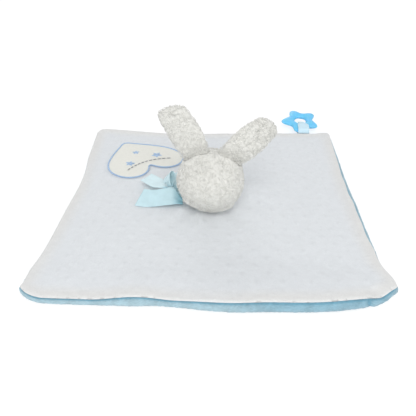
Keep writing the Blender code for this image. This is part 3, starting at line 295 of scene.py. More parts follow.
def heading(angle, rise=0.0):
    """The direction at an angle from +X towards +Y, raised by an angle."""
    a, r = radians(angle), radians(rise)
    return np.array([cos(a) * cos(r), sin(a) * cos(r), sin(r)])


def scattered(cells, seed):
    """One number from 0 to 1 for each whole-number cell, always the same: its parts mixed by large primes."""
    mixed = cells.astype(np.int64) @ np.array([73856093, 19349663, 83492791]) + seed * 2654435761
    mixed = ((mixed ^ (mixed >> 15)) * 1274126177) & 0xFFFFFFFF
    mixed = ((mixed ^ (mixed >> 13)) * 668265263) & 0xFFFFFFFF
    return ((mixed ^ (mixed >> 16)) & 0xFFFFFF) / 0xFFFFFF


def picks(count, seed):
    """A row of numbers from 0 to 1, always the same."""
    cells = np.stack([np.arange(count), np.zeros(count), np.zeros(count)], axis=1)
    return scattered(cells, seed)


def soft_noise(points, size, seed):
    """Noise from 0 to 1: the numbers at the corners of each cube of that size, eased between them."""
    scaled = points / size
    cell = np.floor(scaled).astype(np.int64)
    ease = smooth(scaled - cell)
    total = np.zeros(points.shape[:-1])
    for corner in product((0, 1), repeat=3):
        weight = np.prod(np.where(corner, ease, 1 - ease), axis=-1)
        total += weight * scattered(cell + np.array(corner), seed)
    return total


def tufts(points, size, seed):
    """Round tufts from 0 to 1: one less the distance to the nearest of the points strewn one to each cube."""
    scaled = points / size
    cell = np.floor(scaled).astype(np.int64)
    nearest = np.full(points.shape[:-1], 9.0)
    for corner in product((-1, 0, 1), repeat=3):
        here = cell + np.array(corner)
        strewn = np.stack([scattered(here, seed + k) for k in range(3)], axis=-1)
        nearest = np.minimum(nearest, np.linalg.norm(here + strewn - scaled, axis=-1))
    return np.clip(1 - nearest, 0, 1)


def eased_line(places, marks, values):
    """Values between marks on a cubic that passes each mark with the slope of its neighbours."""
    marks, values = np.asarray(marks, float), np.asarray(values, float)
    slopes = np.gradient(values, marks, axis=0)
    index = np.clip(np.searchsorted(marks, places, side="right") - 1, 0, len(marks) - 2)
    step = marks[index + 1] - marks[index]
    t = (places - marks[index]) / step
    if values.ndim > 1:
        t, step = t[..., None], step[..., None]
    return (values[index] * (2 * t ** 3 - 3 * t ** 2 + 1) + slopes[index] * step * (t ** 3 - 2 * t ** 2 + t)
            + values[index + 1] * (3 * t ** 2 - 2 * t ** 3) + slopes[index + 1] * step * (t ** 3 - t ** 2))


def closed_line(knots, count):
    """A closed curve through its knots: a cubic whose slope at each is half the next less the last."""
    knots = np.asarray(knots, float)
    place = np.arange(count) * len(knots) / count
    index = place.astype(int)
    t = (place - index)[:, None]
    before, here, after, later = (knots[(index + k) % len(knots)] for k in (-1, 0, 1, 2))
    return here + t / 2 * (after - before + t * (2 * before - 5 * here + 4 * after - later
                                                 + t * (3 * (here - after) + later - before)))


def grid_faces(rows, columns, wrap_rows=False, wrap_columns=False, start=0):
    """The quads between the points of a grid that is stored row by row, as an array."""
    row = np.arange(rows if wrap_rows else rows - 1)[:, None]
    column = np.arange(columns if wrap_columns else columns - 1)[None]
    after_row, after_column = (row + 1) % rows, (column + 1) % columns
    corners = (row * columns + column, row * columns + after_column,
               after_row * columns + after_column, after_row * columns + column)
    quads = [np.broadcast_to(corner, (row.size, column.size)) for corner in corners]
    return np.stack(quads, axis=-1).reshape(-1, 4) + start


def fan_faces(start, count, centre):
    """The triangles between a closed ring of points and one point."""
    ring = np.arange(count)
    return np.stack([start + ring, np.full(count, centre), start + (ring + 1) % count], axis=1).tolist()


def turns(count):
    """Evenly spaced angles once round, in radians."""
    return np.arange(count) * 2 * pi / count


def raised(plan, height=0.0):
    """Places in a plan, given their height."""
    return np.concatenate([plan, np.broadcast_to(height, plan.shape[:-1])[..., None]], axis=-1)


def new_piece(name, points, faces, finish, body, nodes=(), uv=None, shares=None):
    """A mesh piece at the origin, its doubles merged, its faces outwards and its finish on. It rides on its
    body if it has one."""
    points = np.asarray(points, float).reshape(-1, 3)
    mesh = bpy.data.meshes.new(name)
    mesh.from_pydata(points, [], faces.tolist() if isinstance(faces, np.ndarray) else faces)
    corner = np.empty(len(mesh.loops), np.int32)
    mesh.loops.foreach_get("vertex_index", corner)
    if uv is not None:
        layer = mesh.uv_layers.new(name="UVMap")
        layer.data.foreach_set("uv", np.asarray(uv, np.float32).reshape(-1, 2)[corner].ravel())
    for label, values in (shares or {}).items():
        attribute = mesh.attributes.new(label, "FLOAT", "POINT")
        attribute.data.foreach_set("value", np.asarray(values, np.float32).ravel())
    work = bmesh.new()
    work.from_mesh(mesh)
    bmesh.ops.remove_doubles(work, verts=work.verts, dist=0.000002)
    bmesh.ops.recalc_face_normals(work, faces=work.faces)
    work.to_mesh(mesh)
    work.free()
    mesh.validate()
    mesh.shade_smooth()
    mesh.materials.append(finish)
    piece = bpy.data.objects.new(name, mesh)
    bpy.context.scene.collection.objects.link(piece)
    if body:
        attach(piece, body)
    if nodes:
        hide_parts(*nodes)
    return piece


def capped_faces(rows, columns, start=0):
    """The quads of a tube of closed rings and the two fans that close its ends."""
    faces = grid_faces(rows, columns, False, True, start).tolist()
    faces.append(list(range(start, start + columns)))
    faces.append(list(range(start + (rows - 1) * columns, start + rows * columns)))
    return faces


def fill(material, sockets, values):
    """Sockets set to values, or linked to other nodes' outputs."""
    for socket, value in zip(sockets, values):
        if isinstance(value, bpy.types.NodeSocket):
            material.node_tree.links.new(value, socket)
        else:
            socket.default_value = value


def add_node(material, kind, inputs=None, **settings):
    """A node with its settings, its inputs set to values or linked to other nodes' outputs."""
    node = material.node_tree.nodes.new(kind)
    for key, value in settings.items():
        setattr(node, key, value)
    inputs = inputs or {}
    fill(material, [node.inputs[key] for key in inputs], inputs.values())
    return node


def start_finish(name, roughness, **sockets):
    """A material with its Principled shader's plain numbers set."""
    material = bpy.data.materials.new("finish_" + name)
    material.use_nodes = True
    shader = material.node_tree.nodes["Principled BSDF"]
    shader.inputs["Roughness"].default_value = roughness
    for key, value in sockets.items():
        shader.inputs[key.replace("_", " ")].default_value = value
    return material, shader


def link(material, output, shader, key):
    """One link into a shader's socket."""
    material.node_tree.links.new(output, shader.inputs[key])


def coordinates(material, kind="Object"):
    """The piece's own coordinates, or its UV map."""
    return add_node(material, "ShaderNodeTexCoord").outputs[kind]


def painted(material, label):
    """The values that the piece's points carry under a label."""
    return add_node(material, "ShaderNodeAttribute", attribute_name=label).outputs["Fac"]


def noise(material, vector, scale, detail=2.0, rough=0.5):
    """Noise over the piece at a number of features per metre."""
    inputs = {"Vector": vector, "Scale": scale, "Detail": detail, "Roughness": rough}
    return add_node(material, "ShaderNodeTexNoise", inputs).outputs["Fac"]


def stripes(material, vector, scale, direction="X", distortion=0.0):
    """Even stripes over the piece."""
    inputs = {"Vector": vector, "Scale": scale, "Distortion": distortion, "Detail": 1.0}
    return add_node(material, "ShaderNodeTexWave", inputs, bands_direction=direction).outputs["Fac"]


def sum_of(material, first, second, operation="ADD"):
    """Two values added, multiplied or otherwise joined."""
    node = add_node(material, "ShaderNodeMath", operation=operation)
    fill(material, node.inputs, (first, second))
    return node.outputs[0]


def shades(material, factor, dark, light, low=0.3, high=0.7):
    """A colour between two, where a value runs from low to high."""
    ramp = add_node(material, "ShaderNodeValToRGB", {"Fac": factor})
    ramp.color_ramp.elements[0].position, ramp.color_ramp.elements[1].position = low, high
    ramp.color_ramp.elements[0].color, ramp.color_ramp.elements[1].color = (*dark, 1), (*light, 1)
    return ramp.outputs["Color"]


def mixed(material, factor, first, second, blend="MIX"):
    """One colour over another by a factor."""
    node = add_node(material, "ShaderNodeMix", data_type="RGBA", blend_type=blend)
    fill(material, (node.inputs[0], node.inputs[6], node.inputs[7]), (factor, first, second))
    return node.outputs[2]


def bump(material, shader, height, strength, distance):
    """Fine relief from a value."""
    inputs = {"Height": height, "Strength": strength, "Distance": distance}
    link(material, add_node(material, "ShaderNodeBump", inputs).outputs["Normal"], shader, "Normal")


def tone(colour, share):
    """A colour made darker or lighter by a share."""
    return tuple(min(1.0, channel * share) for channel in colour[:3])


def toned(material, factor, colour, dark, light, low=0.3, high=0.7):
    """One colour between a darker and a lighter share of itself."""
    return shades(material, factor, tone(colour, dark), tone(colour, light), low, high)


def colour_property(name, description, default):
    """A colour that can be set."""
    return FloatVectorProperty(name=name, description=description, subtype="COLOR", min=0, max=1,
                               default=default)


def length_property(name, description, default, low, high):
    """A length that can be set."""
    return FloatProperty(name=name, description=description, unit="LENGTH", default=default,
                         min=low, max=high)


class BlanketColours(bpy.types.PropertyGroup):
    """The colours of the blanket's cloths, threads and teether."""

    minky: colour_property("Dotted plush", "Inner part of the top panel", (0.788, 0.813, 0.832))
    rim: colour_property("Rim plush", "Smooth rim of the top panel", (0.785, 0.783, 0.768))
    backing: colour_property("Backing plush", "Underside and its edge", (0.400, 0.560, 0.630))
    curly: colour_property("Curly plush", "Head and ears", (0.722, 0.717, 0.676))
    satin: colour_property("Satin", "Bow and neck ribbon", (0.620, 0.795, 0.835))
    strap: colour_property("Strap ribbon", "Loop that holds the teether", (0.590, 0.785, 0.885))
    patch: colour_property("Patch cloth", "Sewn heart", (0.855, 0.850, 0.785))
    border: colour_property("Border thread", "Satin stitch round the heart", (0.400, 0.560, 0.780))
    teether: colour_property("Teether", "Silicone of the teether", (0.165, 0.600, 0.920))


class BlanketSizes(bpy.types.PropertyGroup):
    """The sizes of the cloths' relief."""

    dot_spacing: length_property("Dot spacing", "Side of the dots' square repeat", 0.0214, 0.008, 0.05)
    dot_diameter: length_property("Dot width", "Width of one raised dot", 0.0094, 0.002, 0.015)
    dot_height: length_property("Dot height", "Height of one raised dot", 0.0004, 0, 0.003)
    grid_step: length_property("Cloth step", "Spacing of the top panel's points", 0.00108, 0.0008, 0.01)
    curl_radius: length_property("Curl radius", "Radius of one curl of the plush", 0.00120, 0.0004, 0.003)
    curl_thread: length_property("Curl thickness", "Radius of a curl's yarn", 0.00030, 0.0001, 0.001)
    head_curls: IntProperty(name="Head curls", description="Number of curls on the head", default=3200,
                            min=100, max=9000)
    ear_curls: IntProperty(name="Ear curls", description="Number of curls on each ear", default=850,
                           min=50, max=3000)


def sizes():
    """The scene's relief sizes."""
    return bpy.context.scene.blanket_sizes


def colours():
    """The scene's colours."""
    return bpy.context.scene.blanket_colours


def finish(name):
    """A finish by its name, made once."""
    return bpy.data.materials.get("finish_" + name) or FINISHES[name](name)


def minky_finish(name):
    """Short white pile: cooler inside, warmer on the rim, shaded by fine noise of two sizes, with painted shade
    at the dots.
    """
    material, shader = start_finish(name, 0.95, Sheen_Weight=0.25, Sheen_Roughness=0.5,
                                    Specular_IOR_Level=0.2)
    place = coordinates(material)
    rim = painted(material, "rim")
    pile = noise(material, place, 1400.0, 3.0, 0.6)
    nap = noise(material, place, 160.0, 3.0)
    inner = toned(material, pile, colours().minky, 0.93, 1.04)
    outer = toned(material, pile, colours().rim, 0.93, 1.04)
    cloth = mixed(material, rim, inner, outer)
    shade = shades(material, nap, (0.96,) * 3, (1.0,) * 3)
    worn = mixed(material, 1.0, cloth, shade, "MULTIPLY")
    # Painted shade of the dots: where the top panel marks its dots, the pile is darkened towards 0.55 of its
    # colour. The pile is not pressed down there.
    pressed = sum_of(material, sum_of(material, painted(material, "dot"), nap, "MULTIPLY"), 0.22, "MULTIPLY")
    link(material, mixed(material, pressed, worn, (*tone(colours().minky, 0.55), 1)), shader, "Base Color")
    bump(material, shader, sum_of(material, pile, nap), 0.4, 0.0006)
    return material


def backing_finish(name):
    """Blue plush: long pile in streaks along the edge, darker at random between its tufts, with painted shade
    where it tucks under the rim and painted light low on the edge.
    """
    material, shader = start_finish(name, 0.95, Sheen_Weight=0.3, Sheen_Roughness=0.5, Specular_IOR_Level=0.2)
    place = coordinates(material)
    flat = add_node(material, "ShaderNodeMapping", {"Vector": place, "Scale": (1.0, 1.0, 5.0)}).outputs[0]
    pile = noise(material, flat, 420.0, 3.0, 0.65)
    nap = noise(material, place, 110.0, 3.0)
    both = sum_of(material, sum_of(material, pile, nap), 0.5, "MULTIPLY")
    plush = toned(material, both, colours().backing, 0.84, 1.16, 0.36, 0.62)
    # Painted light and shade: lighter where the edge is low, and darker and bluer towards where it tucks under
    # the rim.
    shade_tint = shades(material, painted(material, "tuck_shade"), (1.08, 1.03, 1.0), (0.42, 0.64, 0.74), 0.0, 1.0)
    link(material, mixed(material, 1.0, plush, shade_tint, "MULTIPLY"), shader, "Base Color")
    bump(material, shader, both, 0.8, 0.0010)
    return material


def curly_finish(name):
    """White curly plush: warm white, a little darker at random, with fibre relief."""
    material, shader = start_finish(name, 0.95, Sheen_Weight=0.8, Sheen_Roughness=0.5, Specular_IOR_Level=0.1)
    place = coordinates(material)
    fibre = noise(material, place, 1800.0, 2.0, 0.6)
    clump = noise(material, place, 260.0, 2.0)
    both = sum_of(material, sum_of(material, fibre, clump), 0.5, "MULTIPLY")
    link(material, toned(material, both, colours().curly, 0.96, 1.03), shader, "Base Color")
    bump(material, shader, fibre, 0.2, 0.0003)
    return material


def satin_finish(name):
    """Satin ribbon: fine crosswise ribs on the ribbon's own UV map, a soft gloss, and painted shade in its
    gathers and where it leaves the knot.
    """
    colour = colours().strap if name == "strap_ribbon" else colours().satin
    material, shader = start_finish(name, 0.42, Specular_IOR_Level=0.45, Sheen_Weight=0.15,
                                    Sheen_Roughness=0.3)
    place = coordinates(material, "UV")
    ribs = stripes(material, place, 900.0, "X")
    cloud = noise(material, coordinates(material), 120.0, 2.0)
    # Painted shade: darker and bluer by each place's shade share.
    shade_tint = shades(material, painted(material, "tuck_shade"), (1.0, 1.0, 1.0), (0.42, 0.62, 0.69), 0.0, 1.0)
    weave = toned(material, cloud, colour, 0.95, 1.05)
    link(material, mixed(material, 1.0, weave, shade_tint, "MULTIPLY"), shader, "Base Color")
    bump(material, shader, ribs, 0.12, 0.0001)
    return material


def stitch_finish(name):
    """Embroidery thread: stripes across the run of the stitches on the UV map."""
    material, shader = start_finish(name, 0.5, Specular_IOR_Level=0.4, Sheen_Weight=0.2)
    place = coordinates(material, "UV")
    strands = stripes(material, place, 700.0, "X", 0.5)
    link(material, toned(material, strands, colours().border, 0.82, 1.12, 0.1, 0.9), shader, "Base Color")
    bump(material, shader, strands, 0.4, 0.0002)
    return material


def cloth_finish(name):
    """Plain woven cloth: two sets of threads that cross, on the piece's own coordinates."""
    material, shader = start_finish(name, 0.9, Sheen_Weight=0.1, Specular_IOR_Level=0.2)
    place = coordinates(material)
    warp, weft = (stripes(material, place, 420.0, direction, 0.4) for direction in "XY")
    weave = sum_of(material, warp, weft, "MULTIPLY")
    nap = noise(material, place, 300.0, 3.0)
    both = sum_of(material, sum_of(material, weave, nap), 0.5, "MULTIPLY")
    link(material, toned(material, both, colours().patch, 0.93, 1.04, 0.1, 0.7), shader, "Base Color")
    bump(material, shader, weave, 0.35, 0.0002)
    return material


def thread_finish(name):
    """Spun thread: slanting strands over its own colour."""
    material, shader = start_finish(name, 0.7, Sheen_Weight=0.2)
    slanted = {"Vector": coordinates(material), "Rotation": (0.4, 0.6, 0.7)}
    place = add_node(material, "ShaderNodeMapping", slanted).outputs[0]
    strands = stripes(material, place, 900.0, "X", 1.0)
    link(material, toned(material, strands, THREADS[name], 0.8, 1.1, 0.1, 0.9), shader, "Base Color")
    bump(material, shader, strands, 0.5, 0.0002)
    return material


def silicone_finish(name):
    """Soft silicone: an even colour with a faint cloud and a fine matt grain."""
    material, shader = start_finish(name, 0.42, Specular_IOR_Level=0.45, Subsurface_Weight=0.12,
                                    Subsurface_Scale=0.002)
    place = coordinates(material)
    cloud = noise(material, place, 60.0, 2.0)
    grain = noise(material, place, 2500.0, 2.0)
    link(material, toned(material, cloud, colours().teether, 0.96, 1.04), shader, "Base Color")
    bump(material, shader, grain, 0.12, 0.0001)
    return material


FINISHES = {
    "minky_plush": minky_finish,
    "backing_plush": backing_finish,
    "curly_plush": curly_finish,
    "satin_ribbon": satin_finish,
    "strap_ribbon": satin_finish,
    "border_stitch": stitch_finish,
    "patch_cloth": cloth_finish,
    "white_thread": thread_finish,
    "grey_thread": thread_finish,
    "pink_thread": thread_finish,
    "silicone": silicone_finish,
}
THREADS = {
    "white_thread": (0.82, 0.82, 0.80),
    "grey_thread": (0.30, 0.31, 0.33),
    "pink_thread": (0.74, 0.45, 0.45),
}


def round_the_edge(place, marks, values):
    """Values at shares of the way round, on a closed cubic through its marks."""
    marks = np.concatenate([np.array(marks[-2:]) - 1, marks, np.array(marks[:2]) + 1])
    return eased_line(place % 1, marks, np.concatenate([values[-2:], values, values[:2]]))


def core_of(x, y):
    """The nearest places of the rectangle between the middles of the cut panel's round corners."""
    a, b = BLANKET_WIDTH / 2 - CORNER_RADIUS, BLANKET_DEPTH / 2 - CORNER_RADIUS
    return np.clip(x, -a, a), np.clip(y, -b, b)


def with_outward(cut):
    """Places on the cut panel's outline, and their outward directions."""
    return cut, unit(cut - np.stack(core_of(cut[:, 0], cut[:, 1]), axis=1))


def way_round(x, y):
    """The offset from the core rectangle, the inset from the plain outline, and the share of the way round,
    for places in the plain rounded rectangle: a corner takes its share of each quarter by its angle."""
    a, b, r = BLANKET_WIDTH / 2, BLANKET_DEPTH / 2, CORNER_RADIUS
    core_x, core_y = core_of(x, y)
    off_x, off_y = x - core_x, y - core_y
    out = np.hypot(off_x, off_y)
    inset = np.where(out > 0, r - out, np.minimum(a - np.abs(x), b - np.abs(y)))
    run_x, run_y = (core_x + a - r) / (2 * (a - r)), (core_y + b - r) / (2 * (b - r))
    turn = np.round((np.degrees(np.arctan2(off_y, off_x)) - 180) % 360 / 90, 9) % 4
    beside = (np.abs(off_x) < 1e-9) | (np.abs(off_y) < 1e-9)
    quarter = np.where(beside, np.round(turn) - 1, np.floor(turn)) % 4
    corner = np.where(beside, 1, turn - np.floor(turn))
    runs = np.select([quarter == 0, quarter == 1, quarter == 2], [run_x, run_y, 1 - run_x], 1 - run_y)
    return off_x, off_y, inset, (quarter + CORNER_PART * corner + (1 - CORNER_PART) * runs * beside) / 4


def side_shift(x, y, side, axis):
    """How far the edge beside each place lies from the plain outline, along one axis, faded inwards."""
    half = np.array([BLANKET_WIDTH, BLANKET_DEPTH]) / 2
    along = (x, y)[1 - axis]
    off = along - np.clip(along, CORNER_RADIUS - half[1 - axis], half[1 - axis] - CORNER_RADIUS)
    bow = np.sqrt(np.maximum(CORNER_RADIUS ** 2 - off ** 2, 0))
    edge = half[axis] - CORNER_RADIUS + bow
    place = way_round(*((side * edge, y) if axis == 0 else (x, side * edge)))[3]
    out = OUT_REACH * round_the_edge(place, OUT_PLACES, OUTS)
    out = out + EDGE_WAVE * (np.sin(2 * pi * 7 * place) + 0.6 * np.sin(2 * pi * (13 * place + 0.2)))
    fade = smooth(1 - (edge - side * (x, y)[axis]) / EDGE_FADE)
    return side * out * bow / CORNER_RADIUS * fade


def blanket_plan(x, y):
    """Where a place on the cut panel lies, how far in from the seam it is, and its share of the way round:
    each place is moved sideways and lengthways by the shifts of the four edges beside it."""
    inset, place = way_round(x, y)[2:]
    new_x = x + side_shift(x, y, -1, 0) + side_shift(x, y, 1, 0)
    new_y = y + side_shift(x, y, -1, 1) + side_shift(x, y, 1, 1) + BLANKET_MIDDLE_Y
    return np.stack([new_x, new_y], axis=-1), inset, place


def seam_heights(place):
    """The height of the seam between the two panels at shares of the way round."""
    return SEAM_HEIGHT + SEAM_LIFT * np.maximum(round_the_edge(place, LIFT_PLACES, LIFTS), 0)


def rounded_square(x, y):
    """A square grid's places pushed in so that its corners are round: in a corner's square, the place at a
    distance by the larger of its two sides moves to the same distance from the corner's centre."""
    core_x, core_y = core_of(x, y)
    off_x, off_y = x - core_x, y - core_y
    scale = np.maximum(np.abs(off_x), np.abs(off_y)) / np.maximum(np.hypot(off_x, off_y), 1e-9)
    return core_x + off_x * scale, core_y + off_y * scale


def edge_loop(step):
    """The cut panel's outline as evenly spaced places and its outward directions."""
    a, b = BLANKET_WIDTH / 2, BLANKET_DEPTH / 2
    across, along = int(BLANKET_WIDTH / step), int(BLANKET_DEPTH / step)
    x = np.concatenate([np.linspace(-a, a, across + 1)[:-1], np.full(along, a),
                        np.linspace(a, -a, across + 1)[:-1], np.full(along, -a)])
    y = np.concatenate([np.full(across, -b), np.linspace(-b, b, along + 1)[:-1],
                        np.full(across, b), np.linspace(b, -b, along + 1)[:-1]])
    return with_outward(np.stack(rounded_square(x, y), axis=1))


def edge_ring(loop, inset, height_of_seam, bulge=0.0):
    """A ring of the sheets: the outline moved in by an inset and out by a share of the backing's bulge, at a
    height worked out from the seam's."""
    cut = loop[0] - loop[1] * inset
    plan, _, place = blanket_plan(cut[:, 0], cut[:, 1])
    out = BACKING_BULGE * np.maximum(round_the_edge(place, BULGE_PLACES, BULGES), 0.1) * bulge
    return raised(plan + loop[1] * out[:, None], height_of_seam(seam_heights(place)))


def heart_place(across_share, along_share):
    """Places on the patch, as shares of its width and length from the heart curve's middle."""
    lobes = -heading(HEART_TIP_HEADING)[:2]
    side = np.array([-lobes[1], lobes[0]])
    across = np.multiply.outer(across_share, side) * HEART_WIDTH
    return HEART_PLACE + across + np.multiply.outer(along_share, lobes) * HEART_LENGTH


def heart_outline(count, inset):
    """The heart curve, 16 sine cubed across and 13, 5, 2 and 1 cosines along, its tip drawn back a little,
    evenly spaced, then averaged over a stretch so that its tip and cleft are round, and drawn in."""
    t = turns(4 * count)
    along = (13 * np.cos(t) - 5 * np.cos(2 * t) - 2 * np.cos(3 * t) - np.cos(4 * t)) / 29
    from_tip = (along - along.min()) / HEART_TIP_REACH
    curve = heart_place(np.sin(t) ** 3 / 2, along + HEART_TIP_BACK * np.exp(-from_tip ** 2))
    closed = np.concatenate([curve, curve[:1]])
    walked = np.concatenate([[0], np.cumsum(np.linalg.norm(np.diff(closed, axis=0), axis=1))])
    even = np.arange(count) * walked[-1] / count
    plan = np.stack([np.interp(even, walked, closed[:, axis]) for axis in (0, 1)], axis=1)
    half = int(HEART_ROUNDING / walked[-1] * count / 2)
    plan = np.mean([np.roll(plan, shift, axis=0) for shift in range(-half, half + 1)], axis=0)
    tangent = unit(np.roll(plan, -1, axis=0) - np.roll(plan, 1, axis=0))
    return plan + np.stack([-tangent[:, 1], tangent[:, 0]], axis=1) * inset


def under_heart(plan):
    """1 under the patch and 0 outside it: each place's distance from the middle against the outline's."""
    outline = heart_outline(288, -0.002)
    middle = outline.mean(axis=0)
    spoke = outline - middle
    order = np.argsort(np.arctan2(spoke[:, 1], spoke[:, 0]))
    spoke = spoke[order]
    reach = np.interp(np.arctan2(plan[..., 1] - middle[1], plan[..., 0] - middle[0]),
                      np.arctan2(spoke[:, 1], spoke[:, 0]), np.linalg.norm(spoke, axis=1), period=2 * pi)
    return 1 - smooth((np.linalg.norm(plan - middle, axis=-1) - reach) / 0.003)


def dots(x, y, wide=1.0, long=1.0):
    """Dots on two square lattices, each half a cell from the other: half a cosine wave round each."""
    cell, reach = sizes().dot_spacing, sizes().dot_diameter / 2
    nearest = np.full(x.shape, 9.0)
    for shift in (0.25, 0.75):
        off_x, off_y = x / cell - shift, y / cell - shift
        off_x, off_y = (off_x - np.round(off_x)) * wide, off_y - np.round(off_y)
        nearest = np.minimum(nearest, np.hypot(off_x, off_y) * cell)
    return (1 + np.cos(pi * np.clip(nearest / reach / long, 0, 1))) / 2


def fold_relief(plan):
    """The cloth's own folds: gathers that run out from the neck and fade, and slow swells all over."""
    offset = plan - (0, NECK_Y)
    distance = np.hypot(offset[..., 0], offset[..., 1])
    turn = np.arctan2(offset[..., 1], offset[..., 0])
    collar = NECK_RISE * (1 - smooth((distance - COLLAR_RADIUS) / COLLAR_RADIUS))
    solid = raised(plan)
    bend = soft_noise(solid, 0.03, 3) - 0.5
    ridge = smooth((distance - COLLAR_RADIUS) / COLLAR_RADIUS)
    ridge = ridge * (1 - smooth((distance - GATHER_FROM) / GATHER_FADE))
    gathers = GATHER_HEIGHT * ridge * (1 + np.cos(GATHERS * turn + 2.5 * bend))
    gathers = gathers * (0.4 + soft_noise(solid, 0.022, 5))
    swell = 0.0009 * soft_noise(solid, 0.045, 7) + 0.0004 * soft_noise(solid, 0.016, 9)
    for ax, ay, bx, by, depth, width in CREASES:
        run = np.array([bx - ax, by - ay])
        share = np.clip((plan - (ax, ay)) @ run / (run @ run), 0, 1)
        bent = plan + 0.003 * (bend[..., None] - 0.2) - (ax, ay)
        away = np.linalg.norm(bent - share[..., None] * run, axis=-1)
        ends = smooth(2.2 * (1 - share)) * smooth(0.4 + 2 * share)
        gathers = gathers - depth * np.exp(-(away / width) ** 2) * ends
    return collar + gathers + swell * (1 - under_heart(plan))


def front_lift(x, y):
    """How far the top panel stands above its level towards the front, where the plush edge holds it up."""
    half = BLANKET_WIDTH / 2 - CORNER_RADIUS
    place = way_round(np.clip(x, -half, half), np.full(x.shape, -BLANKET_DEPTH / 2))[3]
    fade = 1 - smooth((y + BLANKET_DEPTH / 2) / FRONT_LIFT_REACH)
    return (seam_heights(place) + RIM_CREST - TOP_LEVEL) * fade


class BLANKET_OT_top_panel(bpy.types.Operator):
    """Lay the white top panel: a fine grid with raised dots, gathers round the neck and a rolled plush rim"""

    bl_idname = "blanket.top_panel"
    bl_label = "Top panel"

    def execute(self, context):
        step = sizes().grid_step
        rows, columns = int(BLANKET_DEPTH / step) + 1, int(BLANKET_WIDTH / step) + 1
        x = np.broadcast_to(np.linspace(-0.5, 0.5, columns)[None] * BLANKET_WIDTH, (rows, columns))
        y = np.broadcast_to(np.linspace(-0.5, 0.5, rows)[:, None] * BLANKET_DEPTH, (rows, columns))
        x, y = rounded_square(x, y)
        plan, inset, place = blanket_plan(x, y)
        seam = seam_heights(place)
        solid = raised(plan)
        rise = 1 - smooth((inset - RIM_FLAT) / (RIM_WIDTH - RIM_EASE))
        roll = RIM_ROLL_DROP * (1 - np.sqrt(1 - (1 - np.clip(inset / RIM_ROLL_WIDTH, 0, 1)) ** 2))
        inner = smooth((inset - RIM_WIDTH) / INNER_FADE)
        dotted = inner * (1 - under_heart(plan))
        flat = TOP_LEVEL + front_lift(x, y) + fold_relief(plan) * smooth(inset / FOLD_FADE)
        flat = flat + sizes().dot_height * dots(x, y) * dotted
        fluff = FLUFF_HEIGHT * (soft_noise(solid, FLUFF_SIZE, 11) - 0.5) * (1 - inner)
        height = flat * (1 - rise) + (seam + RIM_CREST - roll) * rise + fluff
        grid = raised(plan, height).reshape(-1, 3)
        rim_share = 1 - smooth((inset - 0.002) / RIM_TONE_WIDTH)
        rim_share = rim_share * (0.7 + 0.5 * soft_noise(solid, 0.05, 13))
        ring = np.concatenate([np.arange(columns - 1), np.arange(rows - 1) * columns + columns - 1,
                               (rows - 1) * columns + np.arange(columns - 1, 0, -1),
                               np.arange(rows - 1, 0, -1) * columns])
        count = len(ring)
        loop = with_outward(np.stack([x, y], axis=-1).reshape(-1, 2)[ring])
        floor = TOP_LEVEL - TOP_THICKNESS
        under = [edge_ring(loop, 0.0, lambda seam: seam + GAP / 2),
                 edge_ring(loop, RIM_TURN_UNDER, lambda seam: seam + 0.0007),
                 edge_ring(loop, RIM_WIDTH, lambda seam: np.full_like(seam, floor))]
        points = np.concatenate([grid, *under, [(0, NECK_Y, floor)]])
        faces = grid_faces(rows, columns).tolist()
        start = rows * columns
        faces += np.stack([ring, start + np.arange(count), start + (np.arange(count) + 1) % count,
                           np.roll(ring, -1)], axis=1).tolist()
        faces += grid_faces(3, count, False, True, start).tolist()
        faces += fan_faces(start + 2 * count, count, len(points) - 1)
        # Painted shade of the dots: a long, narrow dark mark at each dot, faded at random, which the minky
        # finish darkens.
        shade = dots(x, y, 3.4, 1.3) * dotted * smooth(1.6 * soft_noise(solid, 0.034, 15))
        shares = {"rim": np.concatenate([rim_share.ravel(), np.ones(3 * count + 1)]),
                  "dot": np.concatenate([shade.ravel(), np.zeros(3 * count + 1)])}
        piece = new_piece("top_panel", points, faces, finish("minky_plush"), "blanket", ["blanket_top"],
                          points[:, :2], shares)
        return {"FINISHED"}


# The backing's edge, from below to above: inset, share of the bulge, height, share of the seam's height
EDGE_PROFILE = (
    (0.030, 0.0, 0.0, 0.0), (0.0075, 0.0, 0.0, 0.0), (0.0025, 0.0, 0.0001, 0.01), (0.0006, 0.35, 0.0, 0.06),
    (0.0, 0.8, 0.0, 0.18), (0.0, 1.0, 0.0, 0.38), (0.0, 1.0, 0.0, 0.58), (0.0, 0.75, 0.0, 0.80),
    (0.0, 0.15, -0.0003, 0.97), (0.0008, 0.0, -0.0002, 1.0), (0.0030, 0.0, -0.0007, 1.0),
    (RIM_WIDTH, 0.0, BACKING_THICKNESS, 0.0), (0.030, 0.0, BACKING_THICKNESS, 0.0))


